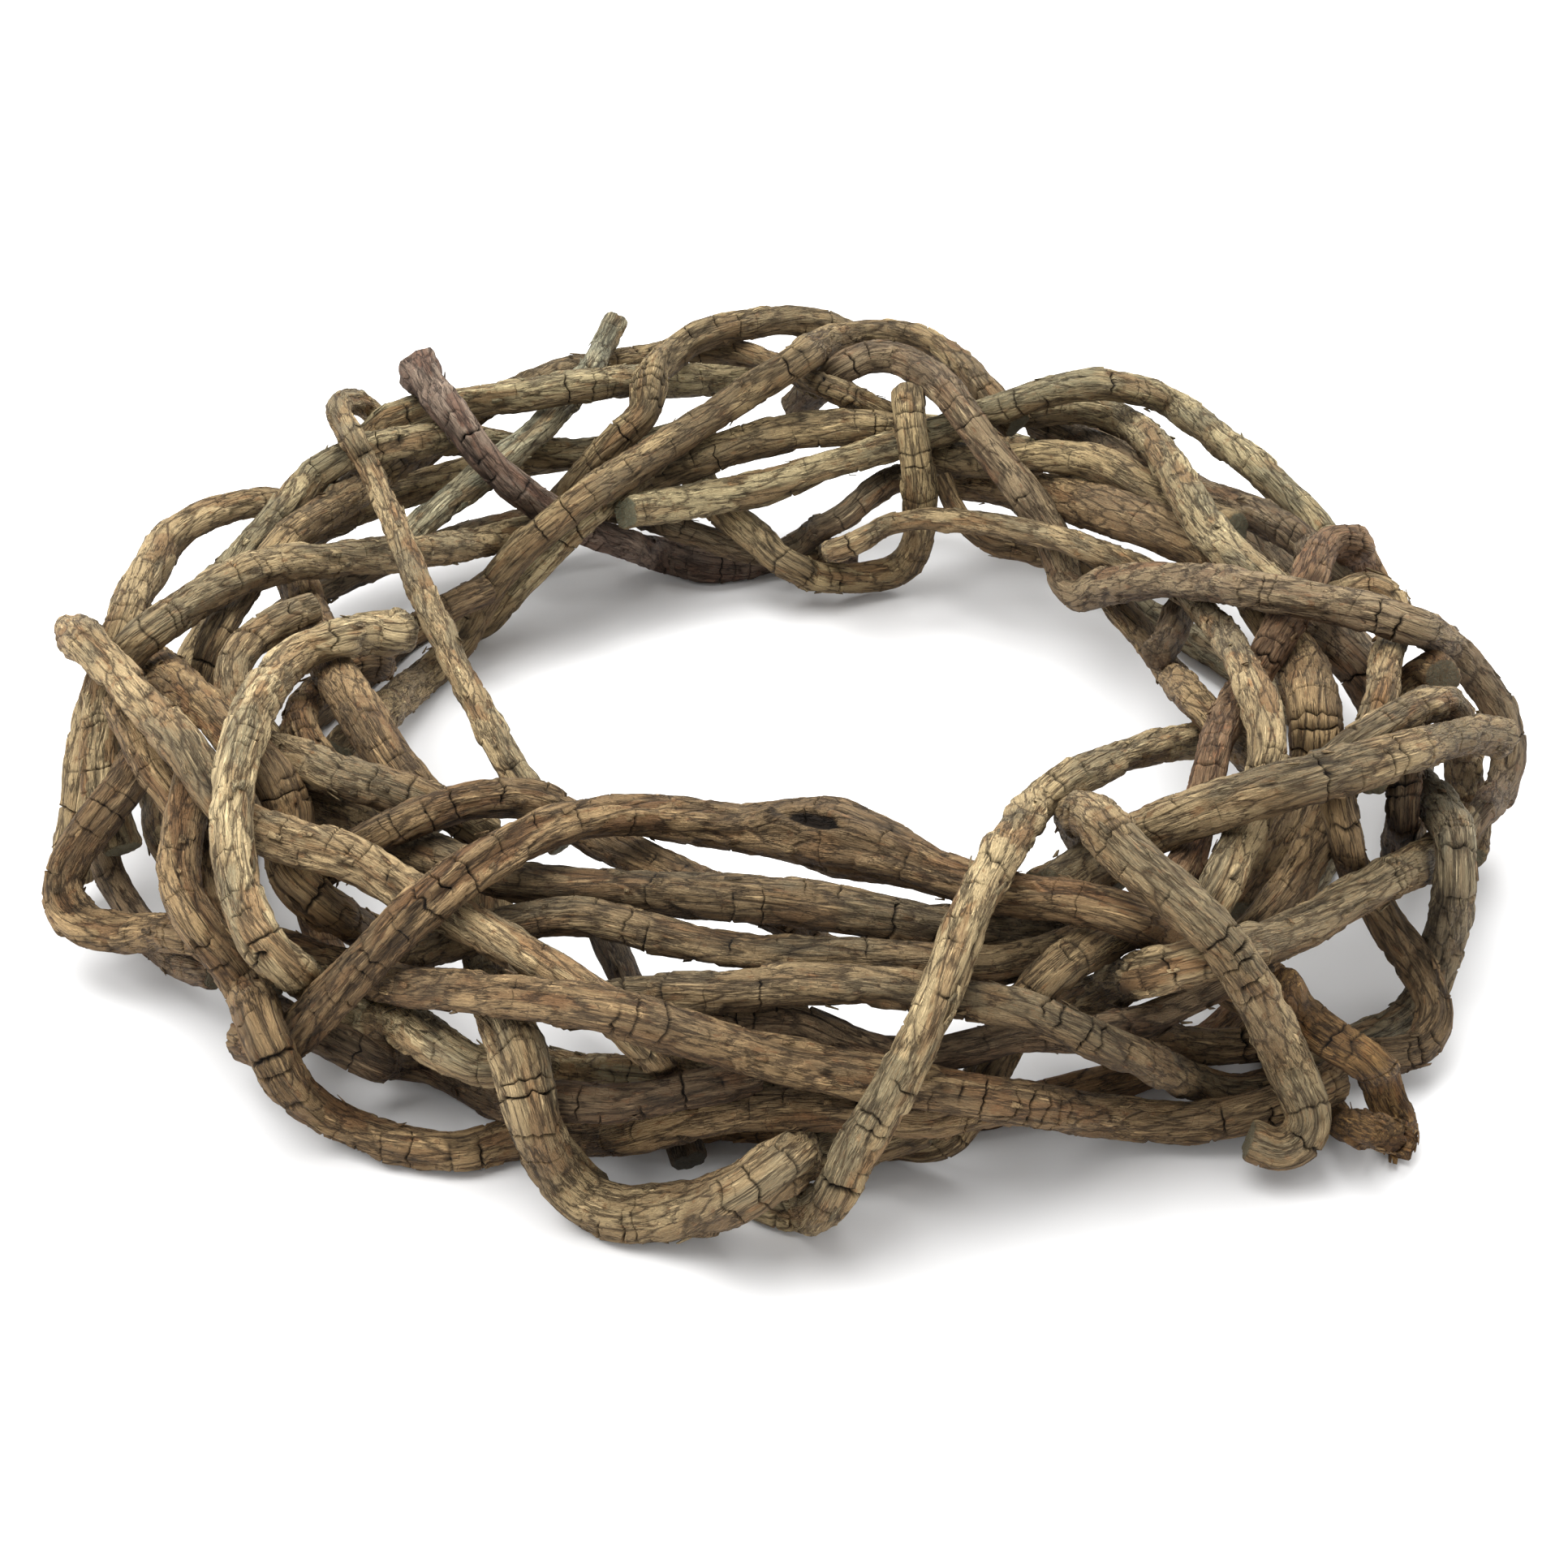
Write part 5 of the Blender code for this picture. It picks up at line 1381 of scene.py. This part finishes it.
@dataclass
class Wreath:
    """The whole wreath: how fine each vine is made, how it ends, and its scars and tint."""

    VINE_SEED = 100
    LOOK_SEED = 500
    MOST_TWIST = 9.0
    SHADE_RANGE = (0.9, 1.12)

    frame: dict
    view: View
    near: BarkCut = field(default_factory=BarkCut)
    far: BarkCut = field(default_factory=lambda: BarkCut(sides=28, step=0.0016))
    covered: BarkCut = field(default_factory=lambda: BarkCut(sides=22, step=0.0022))
    knotted: BarkCut = field(default_factory=lambda: BarkCut(sides=56, step=0.0010))
    far_from: float = 0.06
    lightest_from: float = 0.15
    hidden: tuple[str, ...] = ("foot_front", "foot_left", "foot_right", "bottom_cross", "left_low_outer",
                               "front_under", "back_low_cross", "right_back_low", "front_low_left")
    scars: dict[str, tuple[Scar, ...]] = field(default_factory=lambda: {
        "front_bow": (Scar(1007, 1014, 0.0088, 0.0015, 0.0042, 0.0020, 0.0026),),
        "right_long_diag": (Scar(1637, 955, 0.0018, 0.0013, 0.0012, 0.0004),),
    })
    torn: tuple[str, ...] = ("torn_stub", "peeled_strip", "strip_stem")
    tints: dict[str, Colour] = field(default_factory=lambda: {
        "dark_knob": (0.75, 0.68, 0.75),
        # Painted shade: bottom_cross is darkened to look like a stem in shadow.
        "bottom_cross": (0.5, 0.5, 0.5),
        "front_rail_top": (0.66, 0.64, 0.62),
        "front_rail_low": (0.62, 0.60, 0.58),
        "front_rail_mid": (0.64, 0.62, 0.60),
        "front_riser": (0.75, 0.73, 0.70),
        "foot_front": (0.85, 0.76, 0.70),
        "left_hook": (1.30, 1.38, 1.44),
        "right_cross": (1.04, 1.08, 1.10),
        "peeled_strip": (0.85, 0.82, 0.78),
        "strip_stem": (0.85, 0.82, 0.78),
        "right_long_vine": (1.15, 1.12, 0.98),
    })
    # Painted light: how much lighter and less saturated the vines at the back are made.
    back_lightening: Colour = (0.22, 0.36, 0.42)

    def cut(self, name: str, back: float) -> BarkCut:
        """How finely a vine is made.

        Args:
            name: the vine's name.
            back: how far behind the ring's middle its own middle lies, in metres.

        Returns:
            The sizes of its bark.
        """
        if name == "front_bow":
            return self.knotted
        if name in self.hidden:
            return self.covered
        return self.near if back < self.far_from else self.far

    def tint(self, name: str, back: float, draw: np.random.Generator) -> Colour:
        """A vine's tone of its finish, with painted shade on bottom_cross and painted light towards the
        back, where it is made lighter and less saturated.

        Args:
            name: the vine's name.
            back: how far behind the ring's middle its own middle lies, in metres.
            draw: the source of its random part.

        Returns:
            What its colour is multiplied by.
        """
        shade = draw.uniform(*self.SHADE_RANGE)
        # Painted light: the further back a vine lies, the lighter and less saturated it is made.
        back_share = min(1.0, max(0.0, back / self.lightest_from))
        own = self.tints.get(name, (1.0, 1.0, 1.0))
        return tuple(shade * part * (1 + back_share * lightening_part) for part, lightening_part in zip(own, self.back_lightening))

    def build(self) -> list[bpy.types.Object]:
        """Makes every vine and sets it in its node's place.

        Returns:
            The pieces.
        """
        slots = {part["node"]: part["material_slot"] for part in self.frame["record"]["subparts"]}
        materials = {slot: finish.material(slot) for slot, finish in BARKS.items()}
        low, high = (np.array(corner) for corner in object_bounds())
        stems = {name: Stem.read(node) for name, node in self.frame["nodes"].items()}
        self.view.settle(stems[self.view.anchor_node])
        pieces = []
        for number, name in enumerate(sorted(stems)):
            draw = np.random.default_rng(self.LOOK_SEED + number)
            back = float(stems[name].centre[:, 1].mean())
            vine = Vine(name, stems[name], slots[name], self.VINE_SEED + number, self.cut(name, back),
                        EndStyle.TORN if name in self.torn else EndStyle.CUT,
                        self.scars.get(name, ()), self.tint(name, back, draw),
                        draw.uniform(-self.MOST_TWIST, self.MOST_TWIST))
            piece = vine.build(self.view, low, high)
            piece.data.materials.append(materials[vine.slot])
            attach(piece, "root")
            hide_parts(name)
            pieces.append(piece)
            LOG.info("%s: %d faces", piece.name, len(piece.data.polygons))
        return pieces


def main() -> None:
    """Builds the wreath, the studio and the camera."""
    logging.basicConfig(level=logging.INFO, format="%(message)s")
    for old in list(bpy.data.objects):
        bpy.data.objects.remove(old, do_unlink=True)
    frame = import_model()
    view = View()
    pieces = Wreath(frame, view).build()
    Studio().build()
    view.camera()
    triangles = sum(2 * len(piece.data.polygons) for piece in pieces)
    LOG.info("%d vines, about %d triangles", len(pieces), triangles)


if __name__ == "__main__":
    main()
